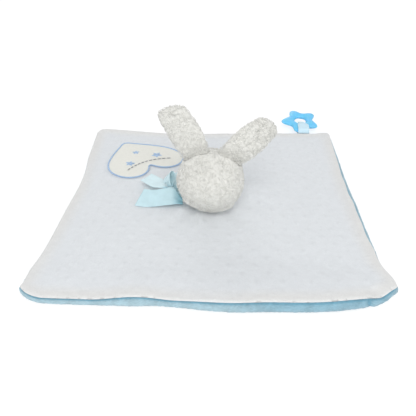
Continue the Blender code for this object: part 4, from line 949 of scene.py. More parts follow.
class BLANKET_OT_backing(bpy.types.Operator):
    """Lay the blue plush backing: rings carried in from its bulging edge, above and below"""

    bl_idname = "blanket.backing"
    bl_label = "Backing"

    def execute(self, context):
        loop = edge_loop(EDGE_STEP)
        places = np.linspace(0, len(EDGE_PROFILE) - 1, 3 * (len(EDGE_PROFILE) - 1) + 1)
        rows = eased_line(places, np.arange(len(EDGE_PROFILE)), EDGE_PROFILE)
        rings = np.array([edge_ring(loop, inset, lambda seam: base + seam * part, bulge)
                          for inset, bulge, base, part in rows])
        around = np.sin(np.linspace(0, pi, len(rows)))[:, None]
        tuft = tufts(rings, 0.0026, 21)
        out = np.broadcast_to(raised(loop[1]), rings.shape)
        rings = rings + out * (0.0009 * around * (tuft - 0.35))[..., None]
        rings[..., 2] = np.maximum(rings[..., 2], 0)
        count = rings.shape[1]
        # Painted shade: a share that darkens the edge towards where it tucks under the rim, along its crease
        # and over a stretch of the way round. Low on the edge it is nil, which the finish paints lighter.
        under = np.interp(places, (3.5, 5.0, 7.4, 8.1, 9.0), (0.0, 0.16, 0.30, 1.15, 1.15))[:, None]
        tuck_shade = under * (0.75 + 0.4 * soft_noise(rings, 0.011, 23))
        edge = way_round(loop[0][:, 0], loop[0][:, 1])[3] + (rings[..., 2] - seam_heights(0.2365)) * 0.25
        crease = np.exp(-((edge - 0.2450) / 0.0009) ** 2) * around
        corner = smooth((edge - 0.165) / 0.03) * (1 - smooth((edge - 0.30) / 0.03))
        tuck_shade = tuck_shade + 0.7 * crease + 0.42 * corner * around
        rings = rings - out * (0.0016 * crease)[..., None]
        centres = [(0, NECK_Y, 0), (0, NECK_Y, BACKING_THICKNESS)]
        points = np.concatenate([rings.reshape(-1, 3), centres])
        faces = grid_faces(len(rings), count, False, True).tolist()
        faces += fan_faces(0, count, len(points) - 2)
        faces += fan_faces((len(rings) - 1) * count, count, len(points) - 1)
        shares = {"tuck_shade": np.concatenate([np.clip(tuck_shade, 0, 1).ravel(), [0, 0]])}
        piece = new_piece("backing_panel", points, faces, finish("backing_plush"), "blanket",
                          ["blanket_backing"], points[:, :2], shares)
        return {"FINISHED"}


class BLANKET_OT_heart(bpy.types.Operator):
    """Sew on the heart: a softly padded cloth with a satin-stitch border"""

    bl_idname = "blanket.heart"
    bl_label = "Heart patch"

    def execute(self, context):
        inner = heart_outline(288, BORDER_WIDTH / 2)
        middle = inner.mean(axis=0)
        share = np.linspace(0, 1, 40) ** 0.8
        plan = middle + (inner - middle)[None] * share[:, None, None]
        solid = raised(plan)
        pucker = 0.0003 * soft_noise(solid, 0.004, 31) * smooth(share)[:, None]
        pucker = pucker + 0.0005 * soft_noise(solid, 0.018, 33)
        face = PATCH_FACE - 0.0002 + pucker * (1 - share ** 8)[:, None]
        points = np.concatenate([raised(plan, face).reshape(-1, 3), raised(plan[-1], PATCH_LEVEL),
                                 [(*middle, PATCH_LEVEL)]])
        count = len(inner)
        faces = grid_faces(len(share) + 1, count, False, True).tolist()
        faces += fan_faces(len(share) * count, count, len(points) - 1)
        piece = new_piece("heart_cloth", points, faces, finish("patch_cloth"), "blanket", ["heart_patch"],
                          points[:, :2])
        border = self.border()
        return {"FINISHED"}

    def border(self):
        """A flat oval section carried round the heart, ridged once for each stitch and slightly uneven."""
        steps, sides = 4, 10
        plan = heart_outline(BORDER_STITCHES * steps, 0)
        count = len(plan)
        along = unit(np.roll(plan, -1, axis=0) - np.roll(plan, 1, axis=0))
        side = np.stack([-along[:, 1], along[:, 0]], axis=1)
        phase = np.arange(count) / steps
        ridge = 1 - 0.10 * (1 - np.abs(np.sin(pi * phase)))
        uneven = 1 + 0.10 * (picks(BORDER_STITCHES + 1, 41)[phase.astype(int) % BORDER_STITCHES] - 0.5)
        turn = turns(sides)
        across = np.cos(turn)[None] * (BORDER_WIDTH / 2 * ridge * uneven)[:, None]
        rise = np.sin(turn)[None] * (BORDER_THICKNESS / 2 * ridge)[:, None]
        flat = plan[:, None] + side[:, None] * across[..., None]
        rings = raised(flat, PATCH_LEVEL + BORDER_THICKNESS / 2 + rise)
        length = np.linalg.norm(np.roll(plan, -1, axis=0) - plan, axis=1).sum()
        uv = np.stack(np.broadcast_arrays((np.arange(count) / count * length)[:, None], across), axis=-1)
        return new_piece("heart_border", rings, grid_faces(count, sides, True, True), finish("border_stitch"),
                         "blanket", ["patch_border"], uv)


class BLANKET_OT_motif(bpy.types.Operator):
    """Embroider the plain motif: three padded stars over a row of running stitches"""

    bl_idname = "blanket.motif"
    bl_label = "Patch motif"

    def execute(self, context):
        for number, (place, size, turn) in enumerate(zip(STAR_PLACES, STAR_SIZES, STAR_TURNS), 1):
            self.star(number, heart_place(*place), STAR_RADIUS * size, turn)
        self.stitch_row()
        return {"FINISHED"}

    def star(self, number, middle, reach, turn):
        """A five-pointed outline filled by rings that dome up to its middle, ridged by slanting thread."""
        corner = np.arange(11) * pi / 5 + radians(turn)
        radius = reach * np.where(np.arange(11) % 2, 0.5, 1.0)
        tip = np.stack([np.cos(corner), np.sin(corner)], axis=1) * radius[:, None]
        place = np.linspace(0, 10, 121)[:-1]
        plan = np.stack([np.interp(place, np.arange(11), tip[:, axis]) for axis in (0, 1)], axis=1)
        share = np.linspace(0, 1, 14)
        flat = middle + plan[None] * share[:, None, None]
        ridge = 0.00008 * np.sin(flat @ unit([1, 0.5]) * 2 * pi / 0.0005)
        dome = 0.0006 * np.sqrt(1 - share[:, None] ** 4)
        height = PATCH_FACE + GAP + dome + ridge * (1 - share[:, None] ** 6)
        points = np.concatenate([raised(flat, height).reshape(-1, 3), raised(flat[-1], PATCH_FACE)])
        faces = grid_faces(len(share) + 1, 120, False, True).tolist()
        faces.append(list(range(len(share) * 120, len(points))))
        new_piece(f"star_{number}", points, faces, finish("border_stitch"), "blanket",
                  [f"patch_star_{number}"], points[:, :2])

    def stitch_row(self):
        """Short rounded stitches end to end on a sagging line."""
        stitches, rings, sides = 11, 9, 8
        index = (np.arange(stitches)[:, None] + np.linspace(0.06, 0.94, rings)[None]) / stitches - 0.5
        along = 0.22 - 0.08 * (1 - (2 * index) ** 2)
        plan = heart_place(0.62 * index, 0 * index) + heart_place(0 * index, along) - HEART_PLACE
        step = unit(np.gradient(plan, axis=1))
        side = np.stack([-step[..., 1], step[..., 0]], axis=-1)
        bulge = np.sqrt(1 - np.linspace(-0.98, 0.98, rings) ** 2) * 0.0005
        turn = turns(sides)
        across = side[:, :, None] * (np.cos(turn)[None, :] * bulge[:, None])[None, ..., None]
        points = raised(plan[:, :, None] + across, PATCH_FACE + 0.0007 + np.sin(turn)[None] * bulge[:, None])
        faces = sum((capped_faces(rings, sides, k * rings * sides) for k in range(stitches)), [])
        new_piece("running_stitches", points, faces, finish("grey_thread"), "blanket", ["patch_stitch_row"])


def head_axes():
    """The head's right, face and crown directions, tilted back and rolled to the side."""
    return np.array([turned(turned(axis, (1, 0, 0), HEAD_TILT), (0, 1, 0), HEAD_ROLL) for axis in np.eye(3)])


HEAD_AXES = head_axes()
HEAD_CENTRE = NECK_PIVOT + turned((0, 0, HEAD_REACH), (1, 0, 0), HEAD_LEAN)


def head_radius(directions):
    """The head's form: an egg with a soft muzzle, drawn in at the neck and faintly along its two seams."""
    radius = 1 / np.linalg.norm(directions / (HEAD_SIZE / 2), axis=-1)
    muzzle = np.array([0, cos(radians(MUZZLE_ANGLE)), sin(radians(MUZZLE_ANGLE))])
    neck = HEAD_AXES @ (NECK_PIVOT - HEAD_CENTRE)
    for middle, spread, depth in ((muzzle, MUZZLE_SPREAD, MUZZLE_OUT), (neck, NECK_SPREAD, -NECK_DRAW_IN)):
        angle = np.degrees(np.arccos(np.clip(directions @ unit(middle), -1, 1)))
        radius = radius + depth * np.exp(-(angle / spread) ** 2)
    resting = np.degrees(np.arccos(np.clip(directions @ (HEAD_AXES @ RESTING_WAY), -1, 1)))
    radius = radius - RESTING_DEPTH * np.exp(-(resting / 34) ** 2)
    side = np.degrees(np.arcsin(np.clip(directions[..., 0], -1, 1)))
    return radius - 0.0004 * np.exp(-((np.abs(side) - degrees(asin(GUSSET_WIDTH / HEAD_SIZE[0]))) / 4) ** 2)


def head_points(side, turn, lift=0.0):
    """Places on the head by an angle to the side, an angle from the face over the crown, and a height."""
    side, turn = np.broadcast_arrays(np.radians(side), np.radians(turn))
    directions = np.stack([np.sin(side), np.cos(side) * np.cos(turn), np.cos(side) * np.sin(turn)], axis=-1)
    return HEAD_CENTRE + (directions * (head_radius(directions) + lift)[..., None]) @ HEAD_AXES


def surface_normals(grid, centre):
    """The outward directions of a grid of points, away from a centre."""
    normal = unit(np.cross(np.gradient(grid, axis=0), np.gradient(grid, axis=1)))
    away = np.sum(normal * (grid - centre), axis=-1, keepdims=True)
    return normal * np.where(away < 0, -1, 1)


def off_neck(points):
    """Places kept out of the ball where the neck turns: those inside it move back along their line to the
    head's middle, to the nearer of the two places where that line meets the ball."""
    reach = NECK_BALL_RADIUS + NECK_BALL_CLEARANCE
    way = points - HEAD_CENTRE
    distance = np.linalg.norm(way, axis=-1)
    way = way / distance[..., None]
    to_pivot = NECK_PIVOT - HEAD_CENTRE
    along = way @ to_pivot
    room = reach ** 2 - (to_pivot @ to_pivot - along ** 2)
    near = along - np.sqrt(np.maximum(room, 0))
    cut = (room > 0) & (along > 0) & (distance > near)
    return np.where(cut[..., None], HEAD_CENTRE + way * near[..., None], points)


def curls(places, normals, sizes_of, seed):
    """Open rings of yarn: for each place an arc of a circle in a plane that leans out of the surface, with a
    square section that tapers at both ends. Returns the points of all arcs, arc by arc."""
    count, rings, sides = len(places), 8, 4
    radius, thread = sizes_of
    spin = 2 * pi * picks(count, seed)
    lean = radians(10) + radians(55) * picks(count, seed + 1)
    first = unit(np.cross(normals, np.where(np.abs(normals[:, :1]) < 0.8, (1.0, 0, 0), (0, 1.0, 0))))
    second = np.cross(normals, first)
    a = first * np.cos(spin)[:, None] + second * np.sin(spin)[:, None]
    flat = -first * np.sin(spin)[:, None] + second * np.cos(spin)[:, None]
    b = flat * np.cos(lean)[:, None] + normals * np.sin(lean)[:, None]
    theta = np.linspace(0, CURL_ARC, rings)
    reach = radius * (0.7 + 0.6 * picks(count, seed + 2))
    spoke = a[:, None] * np.cos(theta)[None, :, None] + b[:, None] * np.sin(theta)[None, :, None]
    middle = places[:, None] + spoke * reach[:, None, None]
    square = np.cross(a, b)
    taper = thread * np.interp(theta, (0, 0.5, 1.2 * pi, CURL_ARC), (0.35, 1.0, 1.0, 0.35))
    turn = turns(sides)
    return (middle[:, :, None] + spoke[:, :, None] * (np.cos(turn)[None, :] * taper[:, None])[None, ..., None]
            + square[:, None, None] * (np.sin(turn)[None, :] * taper[:, None])[None, ..., None])


def curl_piece(name, places, normals, body, seed):
    """One piece that holds a field of curls."""
    points = curls(places, normals, (sizes().curl_radius, sizes().curl_thread), seed)
    count, rings, sides = points.shape[:3]
    quads = grid_faces(rings, sides, False, True)
    caps = np.array([list(range(sides)), list(range((rings - 1) * sides, rings * sides))])
    one = np.concatenate([quads, caps])
    faces = (one[None] + (np.arange(count) * rings * sides)[:, None, None]).reshape(-1, 4)
    return new_piece(name, points, faces, finish("curly_plush"), body)


def on_grid(grid, count):
    """Evenly spread places on a grid of points that is closed in its columns, and their rows and columns:
    the golden-ratio pair sequence, turned into places of equal area by running sums of the cells' areas."""
    step = np.arange(count) + 0.5
    u, v = (step * 0.7548776662466927) % 1, (step * 0.5698402909980532) % 1
    closed = np.concatenate([grid, grid[:, :1]], axis=1)
    corner = closed[:-1, :-1]
    area = np.linalg.norm(np.cross(closed[1:, :-1] - corner, closed[:-1, 1:] - corner), axis=-1)
    rows = np.concatenate([[0], np.cumsum(area.sum(axis=1))])
    row = np.interp(u, rows / rows[-1], np.arange(len(rows)))
    index = np.clip(row.astype(int), 0, len(area) - 1)
    across = np.concatenate([np.zeros((len(area), 1)), np.cumsum(area, axis=1)], axis=1)
    across = across / across[:, -1:]
    column = np.array([np.interp(one, across[i], np.arange(across.shape[1])) for one, i in zip(v, index)])
    return row, column


def read_grid(grid, row, column):
    """The values of a closed grid at broken rows and columns, mixed from the four points round each."""
    r, c = np.clip(row.astype(int), 0, len(grid) - 2), column.astype(int) % grid.shape[1]
    s, t = (row - r)[:, None], (column - column.astype(int))[:, None]
    after = (c + 1) % grid.shape[1]
    first = grid[r, c] * (1 - t) + grid[r, after] * t
    second = grid[r + 1, c] * (1 - t) + grid[r + 1, after] * t
    return first * (1 - s) + second * s


def face_paths():
    """The lines of the eyes and mouth as side and turn angles, with their names."""
    share = np.linspace(-1, 1, 25)
    scale = degrees(2 / HEAD_SIZE[1])
    lines = (("left_eye", -EYE_SIDE_ANGLE, EYE_UP_ANGLE, EYE_WIDTH, EYE_DROP, "eye_left"),
             ("right_eye", EYE_SIDE_ANGLE, EYE_UP_ANGLE, EYE_WIDTH, EYE_DROP, "eye_right"),
             ("mouth", 0, MOUTH_ANGLE, MOUTH_WIDTH, MOUTH_DROP, "mouth_stitch"))
    return [(name, side + share * width / 2 * scale, turn - (1 - share ** 2) * drop * scale, node)
            for name, side, turn, width, drop, node in lines]


def pressed_by_face(points):
    """1 where the face's stitches press the plush down and 0 away from them."""
    marks = [head_points(side, turn) for _, side, turn, _ in face_paths()]
    marks = np.concatenate(marks + [head_points(0, NOSE_UP_ANGLE)[None]])
    flat = points.reshape(-1, 3)
    nearest = np.full(len(flat), 9.0)
    for mark in marks:
        nearest = np.minimum(nearest, np.linalg.norm(flat - mark, axis=1))
    return (1 - smooth((nearest - 0.0016) / 0.003)).reshape(points.shape[:-1])


def round_the_ears(points):
    """How far the head's plush stands up round the ears' roots, where it is sewn to them."""
    rise = np.zeros(points.shape[:-1])
    for side in (-EAR_SIDE_ANGLE, EAR_SIDE_ANGLE):
        place, root_line, axis, front = ear_frame(side)
        off = points - (place - axis * EAR_HINGE_HEIGHT)
        along = np.abs(off @ root_line) - EAR_WIDTH * 0.30
        away = np.hypot(off @ front, np.maximum(along, 0))
        ridge = smooth((away - 0.0018) / 0.0020) * (1 - smooth((away - 0.0040) / 0.0060))
        rise = np.maximum(rise, ROOT_RIDGE * ridge)
    return rise


def tuft_relief(points, seeds):
    """How far the plush's tufts of two sizes rise."""
    return sum(height * tufts(points, size, seed)
               for height, size, seed in zip(TUFT_HEIGHTS, TUFT_SIZES, seeds))


class BLANKET_OT_head(bpy.types.Operator):
    """Stuff the head: tufted plush under small curls, pressed down by the face's stitches"""

    bl_idname = "blanket.head"
    bl_label = "Head"

    def execute(self, context):
        rows, columns = 190, 330
        side = np.linspace(-90, 90, rows)[:, None]
        turn = np.arange(columns)[None] * 360 / columns
        smooth_grid = head_points(side, turn)
        normal = unit(smooth_grid - HEAD_CENTRE)
        pressed = pressed_by_face(smooth_grid)
        relief = tuft_relief(smooth_grid, (51, 55)) * (1 - 0.8 * pressed) - 0.0003 * pressed
        lift = relief + round_the_ears(smooth_grid) - HEAD_SINK
        lift[0], lift[-1] = lift[0].mean(), lift[-1].mean()
        grid = off_neck(smooth_grid + normal * lift[..., None])
        piece = new_piece("head_plush", grid, grid_faces(rows, columns, False, True), finish("curly_plush"),
                          "head", ["head_gusset", "head_side_left", "head_side_right", "head_filling"])
        row, column = on_grid(smooth_grid, sizes().head_curls)
        places = read_grid(smooth_grid, row, column)
        keep = (pressed_by_face(places) < 0.3) & (np.linalg.norm(places - NECK_PIVOT, axis=1) > 0.013)
        places = places[keep]
        outward = unit(places - HEAD_CENTRE)
        proud = round_the_ears(places)[:, None] - 0.0009
        curl_piece("head_curls", places + outward * proud, outward, "head", 61)
        return {"FINISHED"}


class BLANKET_OT_face(bpy.types.Operator):
    """Embroider the sleeping eyes, the mouth and the small nose"""

    bl_idname = "blanket.face"
    bl_label = "Face"

    def execute(self, context):
        for name, side, turn, node in face_paths():
            self.stitch(name, head_points(side, turn, FACE_THREAD_RADIUS), node)
        self.nose()
        return {"FINISHED"}

    def stitch(self, name, path, node):
        """A thread along a path: round rings whose radius swells and thins with each stitch."""
        count, sides = 100, 10
        place = np.linspace(0, len(path) - 1, count)
        line = eased_line(place, np.arange(len(path)), path)
        along = unit(np.gradient(line, axis=0))
        out = unit(line - HEAD_CENTRE)
        side = unit(np.cross(along, out))
        rise = np.cross(side, along)
        ends = np.sqrt(1 - np.linspace(-0.99, 0.99, count) ** 8)
        radius = FACE_THREAD_RADIUS * ends * (1 - 0.18 * np.abs(np.cos(pi * np.linspace(0, 9, count))))
        turn = turns(sides)
        rings = line[:, None] + radius[:, None, None] * (side[:, None] * np.cos(turn)[None, :, None]
                                                         + rise[:, None] * np.sin(turn)[None, :, None])
        new_piece(name, rings, capped_faces(count, sides), finish("grey_thread"), "head", [node])

    def nose(self):
        """A soft rounded triangle of satin stitch: an oval that is wider above, domed and finely ridged."""
        middle = head_points(0, NOSE_UP_ANGLE)
        normal = unit(middle - HEAD_CENTRE)
        right = HEAD_AXES[0]
        up = np.cross(right, normal)
        share = np.sin(np.linspace(0, pi / 2, 16))[:, None]
        turn = turns(72)[None]
        wide = NOSE_HALF_WIDTH * (1 + 0.22 * np.sin(turn)) * share * np.cos(turn)
        tall = NOSE_HALF_HEIGHT * share * np.sin(turn)
        ridges = 0.00006 * np.sin(wide * 2 * pi / 0.0005) * (1 - share ** 4)
        dome = FACE_THREAD_RADIUS + NOSE_DOME * np.sqrt(1 - share ** 2) + ridges
        upper = middle + wide[..., None] * right + tall[..., None] * up + dome[..., None] * normal
        points = np.concatenate([upper.reshape(-1, 3), upper[-1] - normal * 0.0009])
        faces = grid_faces(17, 72, False, True).tolist()
        faces.append(list(range(16 * 72, 17 * 72)))
        new_piece("nose_stitch", points, faces, finish("pink_thread"), "head", ["nose"])


def ear_frame(side):
    """An ear's root on the head: its hinge's place, the hinge's direction, the ear's axis and its front."""
    turn, step = 90 - EAR_FORWARD_ANGLE, 1.0
    place = head_points(side, turn)
    normal = unit(np.cross(head_points(side, turn + step) - head_points(side, turn - step),
                           head_points(side + step, turn) - head_points(side - step, turn)))
    normal = normal if np.dot(normal, place - HEAD_CENTRE) > 0 else -normal
    root_line = unit(np.cross(normal, (0, -1, 0)))
    axis = turned(normal, root_line, -EAR_LEAN)
    return place + normal * EAR_HINGE_HEIGHT, root_line, axis, np.cross(axis, root_line)


# Each ear's side, slant, widths from root to tip, bend, how blunt and how level its tip is, and its seed
EAR_FORMS = {
    "left": (-EAR_SIDE_ANGLE, -7.0, (0.82, 0.92, 1.0, 1.0, 0.97, 0.95, 0.92, 0.90), -0.0012, 3.8, -0.19, 71),
    "right": (EAR_SIDE_ANGLE, 17.0, (0.82, 0.92, 0.99, 0.99, 0.96, 0.88, 0.82, 0.76), -0.0010, 3.2, 0.16, 81),
}
EAR_MARKS = (-0.10, 0.0, 0.12, 0.28, 0.45, 0.62, 0.77, 0.88, 1.0)
EAR_THICKNESSES = (0.70, 0.74, 0.82, 0.96, 1.0, 0.97, 0.92, 0.86, 0.78)
EAR_ROOT_WIDTH = 0.76
EAR_SHORTER = 0.0006


def ear_grid(root, slant, widths, bend, blunt, level_tip, shares, angles):
    """An ear: ovals carried along its slanting, bending middle line, flat at the root, round at the tip."""
    place, root_line, axis, front = root
    wide = eased_line(shares, EAR_MARKS, (EAR_ROOT_WIDTH, *widths)) * EAR_WIDTH / 2
    thin = eased_line(shares, EAR_MARKS, EAR_THICKNESSES) * EAR_THICKNESS / 2
    tip = np.sqrt(np.clip(1 - (np.clip(shares - 0.80, 0, 0.2) / 0.2) ** blunt, 0, 1))
    wide, thin = wide * tip, thin * tip
    length = shares * (EAR_LENGTH - EAR_HINGE_HEIGHT - EAR_SHORTER)
    swing = radians(slant) * smooth(shares / 0.45)
    across = root_line * np.cos(swing)[:, None] - axis * np.sin(swing)[:, None]
    curve = bend * smooth((shares - 0.35) / 0.65)
    middle = (place + axis * (length * cos(radians(slant)))[:, None]
              + root_line * (length * sin(radians(slant)) + curve)[:, None])
    x, y = wide[:, None] * np.cos(angles)[None], thin[:, None] * np.sin(angles)[None]
    middle = middle[:, None] + axis * (level_tip * x * smooth((shares - 0.55) / 0.45)[:, None])[..., None]
    sag = x ** 2 / HEAD_SIZE[0] * (1 - smooth(length / EAR_WIDTH * 2))[:, None]
    return middle + x[..., None] * across[:, None] + y[..., None] * front - sag[..., None] * axis


class BLANKET_OT_ears(bpy.types.Operator):
    """Stuff the two ears: flat ovals carried along a bending line, in tufted plush with curls"""

    bl_idname = "blanket.ears"
    bl_label = "Ears"

    def execute(self, context):
        columns = 150
        tip = 0.8 + 0.2 * np.sin(np.linspace(0, pi / 2, 32))[1:]
        shares = np.concatenate([np.linspace(-0.10, 0.8, 94), tip])
        for which, (side, *form, seed) in EAR_FORMS.items():
            name, node = which + "_ear", "ear_" + which
            plain = ear_grid(ear_frame(side), *form, shares, turns(columns))
            core = plain.mean(axis=1, keepdims=True)
            outward = surface_normals(plain, core)
            outward[-1] = outward[-2].mean(axis=0)
            relief = tuft_relief(plain, (seed, seed + 3)) - EAR_SINK
            relief[-1] = relief[-1].mean()
            grid = plain + outward * relief[..., None]
            closed = np.concatenate([np.broadcast_to(grid[0].mean(axis=0), grid[:1].shape), grid])
            faces = grid_faces(len(closed), columns, False, True)
            piece = new_piece(name, closed, faces, finish("curly_plush"), node,
                              [node + "_lining", node + "_back", node + "_filling"])
            row, column = on_grid(plain, sizes().ear_curls)
            places, out = read_grid(plain, row, column), unit(read_grid(outward, row, column))
            root = np.exp(-((np.interp(row, np.arange(len(shares)), shares) - 0.02) / 0.05) ** 2)
            proud = (0.0018 * root - 0.0006)[:, None]
            curl_piece(name + "_curls", places + out * proud, out, node, seed + 7)
        return {"FINISHED"}


class BLANKET_OT_neck(bpy.types.Operator):
    """Gather the neck: a turned column and ball under the head, on a flat foot on the panel"""

    bl_idname = "blanket.neck"
    bl_label = "Neck"

    def execute(self, context):
        floor = BACKING_THICKNESS + GAP
        below = acos(NECK_RADIUS / NECK_BALL_RADIUS)
        angle = np.linspace(-below, pi / 2, 28)
        ball = NECK_BALL_RADIUS * np.stack([np.cos(angle), np.sin(angle)], axis=1) + (0, NECK_PIVOT[2])
        top = floor + FOOT_THICKNESS
        foot = [(0.0, floor), (FOOT_RADIUS, floor), (FOOT_RADIUS, top), (NECK_RADIUS, top)]
        profile = np.concatenate([foot, ball])
        turn = turns(72)
        pleat = 1 - 0.04 * (1 + np.cos(12 * turn)) * np.clip((profile[:, :1] - 0.002) / 0.003, 0, 1)
        x, y = profile[:, :1] * np.cos(turn) * pleat, profile[:, :1] * np.sin(turn) * pleat + NECK_Y
        rings = np.stack([x, y, np.broadcast_to(profile[:, 1:], x.shape)], axis=-1)
        faces = grid_faces(len(profile), len(turn), False, True)
        piece = new_piece("neck_cloth", rings, faces, finish("patch_cloth"), "neck",
                          ["neck_tube", "neck_filling"])
        return {"FINISHED"}


def ribbon(name, route, across, finish_name, body, nodes, closed=False, pleats=None, tuck_shade=None):
    """A ribbon: a thin flat section with beaded selvedges, carried along a route, its face waved by pleats, and
    darker by a painted shade share that is high in its gathers."""
    route, across = np.asarray(route, float), np.asarray(across, float)
    along = (np.roll(route, -1, axis=0) - np.roll(route, 1, axis=0)) if closed else np.gradient(route, axis=0)
    face = unit(np.cross(unit(along), across))
    share = np.cos(np.linspace(0, pi, 17))
    bead = 0.62 + 0.38 * np.exp(-((np.abs(share) - 0.94) / 0.035) ** 2)
    half = RIBBON_BODY / 2 * bead * np.sqrt(1 - share ** 18)
    u = np.linspace(0, 1, len(route))[:, None]
    v = np.concatenate([share, share[::-1][1:-1]])
    h = np.concatenate([half, -half[::-1][1:-1]])
    wave = pleats(u, v[None]) if pleats else np.zeros((len(route), len(v)))
    rings = route[:, None] + across[:, None] * v[None, :, None] + face[:, None] * (h[None] + wave)[..., None]
    walked = np.concatenate([[0], np.cumsum(np.linalg.norm(np.diff(route, axis=0), axis=1))])
    width = np.linalg.norm(across, axis=1)[:, None]
    uv = np.stack(np.broadcast_arrays(walked[:, None], v[None] * width), axis=-1)
    faces = grid_faces(len(route), len(v), True, True) if closed else capped_faces(len(route), len(v))
    shares = {"tuck_shade": np.clip(tuck_shade(u, v[None]), 0, 1)} if tuck_shade else None
    piece = new_piece(name, rings, faces, finish(finish_name), body, nodes, uv, shares)
    length = float(walked[-1] + (np.linalg.norm(route[0] - route[-1]) if closed else 0))
    return piece, length


def cloth_area(piece, flat):
    """The area of one side of a thin closed piece, which is half of its surface, within its flat cut's."""
    areas = np.empty(len(piece.data.polygons))
    piece.data.polygons.foreach_get("area", areas)
    return float(min(areas.sum() / 2, flat[0] * flat[1]))


class BLANKET_OT_neck_ribbon(bpy.types.Operator):
    """Tie the satin ribbon round the neck, gathered into a band and spread where it comes to the knot"""

    bl_idname = "blanket.neck_ribbon"
    bl_label = "Neck ribbon"

    def execute(self, context):
        radius = NECK_BALL_RADIUS + 2 * GAP + RIBBON_THICKNESS / 2
        level = TOP_LEVEL + NECK_RISE + 0.0007 + 3 * GAP + BAND_HEIGHT / 2
        knots = [(*(heading(angle)[:2] * radius + (0, NECK_Y)), level, BAND_HEIGHT)
                 for angle in np.linspace(-105, 105, 9)]
        reach = -KNOT_PLACE[0] - KNOT_SIZE[0] / 2 - GAP
        side, run_height = KNOT_SIZE[1] / 4, KNOT_SIZE[2] * 0.6
        steps = ((0.45, radius * 0.8, BAND_HEIGHT), (0.75, side * 1.2, run_height), (1.0, side, run_height),
                 (1.0, -side, run_height), (0.8, -BAND_BELLY, BAND_SPREAD_HEIGHT),
                 (0.62, -BAND_BELLY * 1.2, BAND_SPREAD_HEIGHT), (0.38, -radius * 1.2, BAND_HEIGHT * 1.2))
        for share, offset, height in steps:
            lift = max(0, height / 2 - BAND_HEIGHT) if offset < 0 else 0
            knots.append((-reach * share, NECK_Y + offset, level + BAND_RISE * smooth(share) + lift, height))
        line = closed_line(knots, 260)
        across = np.column_stack([np.zeros((len(line), 2)), line[:, 3] / 2])
        pleats = lambda u, v: 0.0004 * np.cos(13 * v + 1.0) * (1 - np.abs(v) ** 4) + 0 * u
        piece, length = ribbon("neck_band", line[:, :3], across, "satin_ribbon", "neck", ["neck_ribbon"],
                               True, pleats)
        flat = (RIBBON_WIDTH, length)
        cloth_area(piece, flat)
        return {"FINISHED"}


def knot_reach(direction):
    """From the knot's middle to its surface."""
    return 1 / np.linalg.norm(2 * direction / KNOT_SIZE)


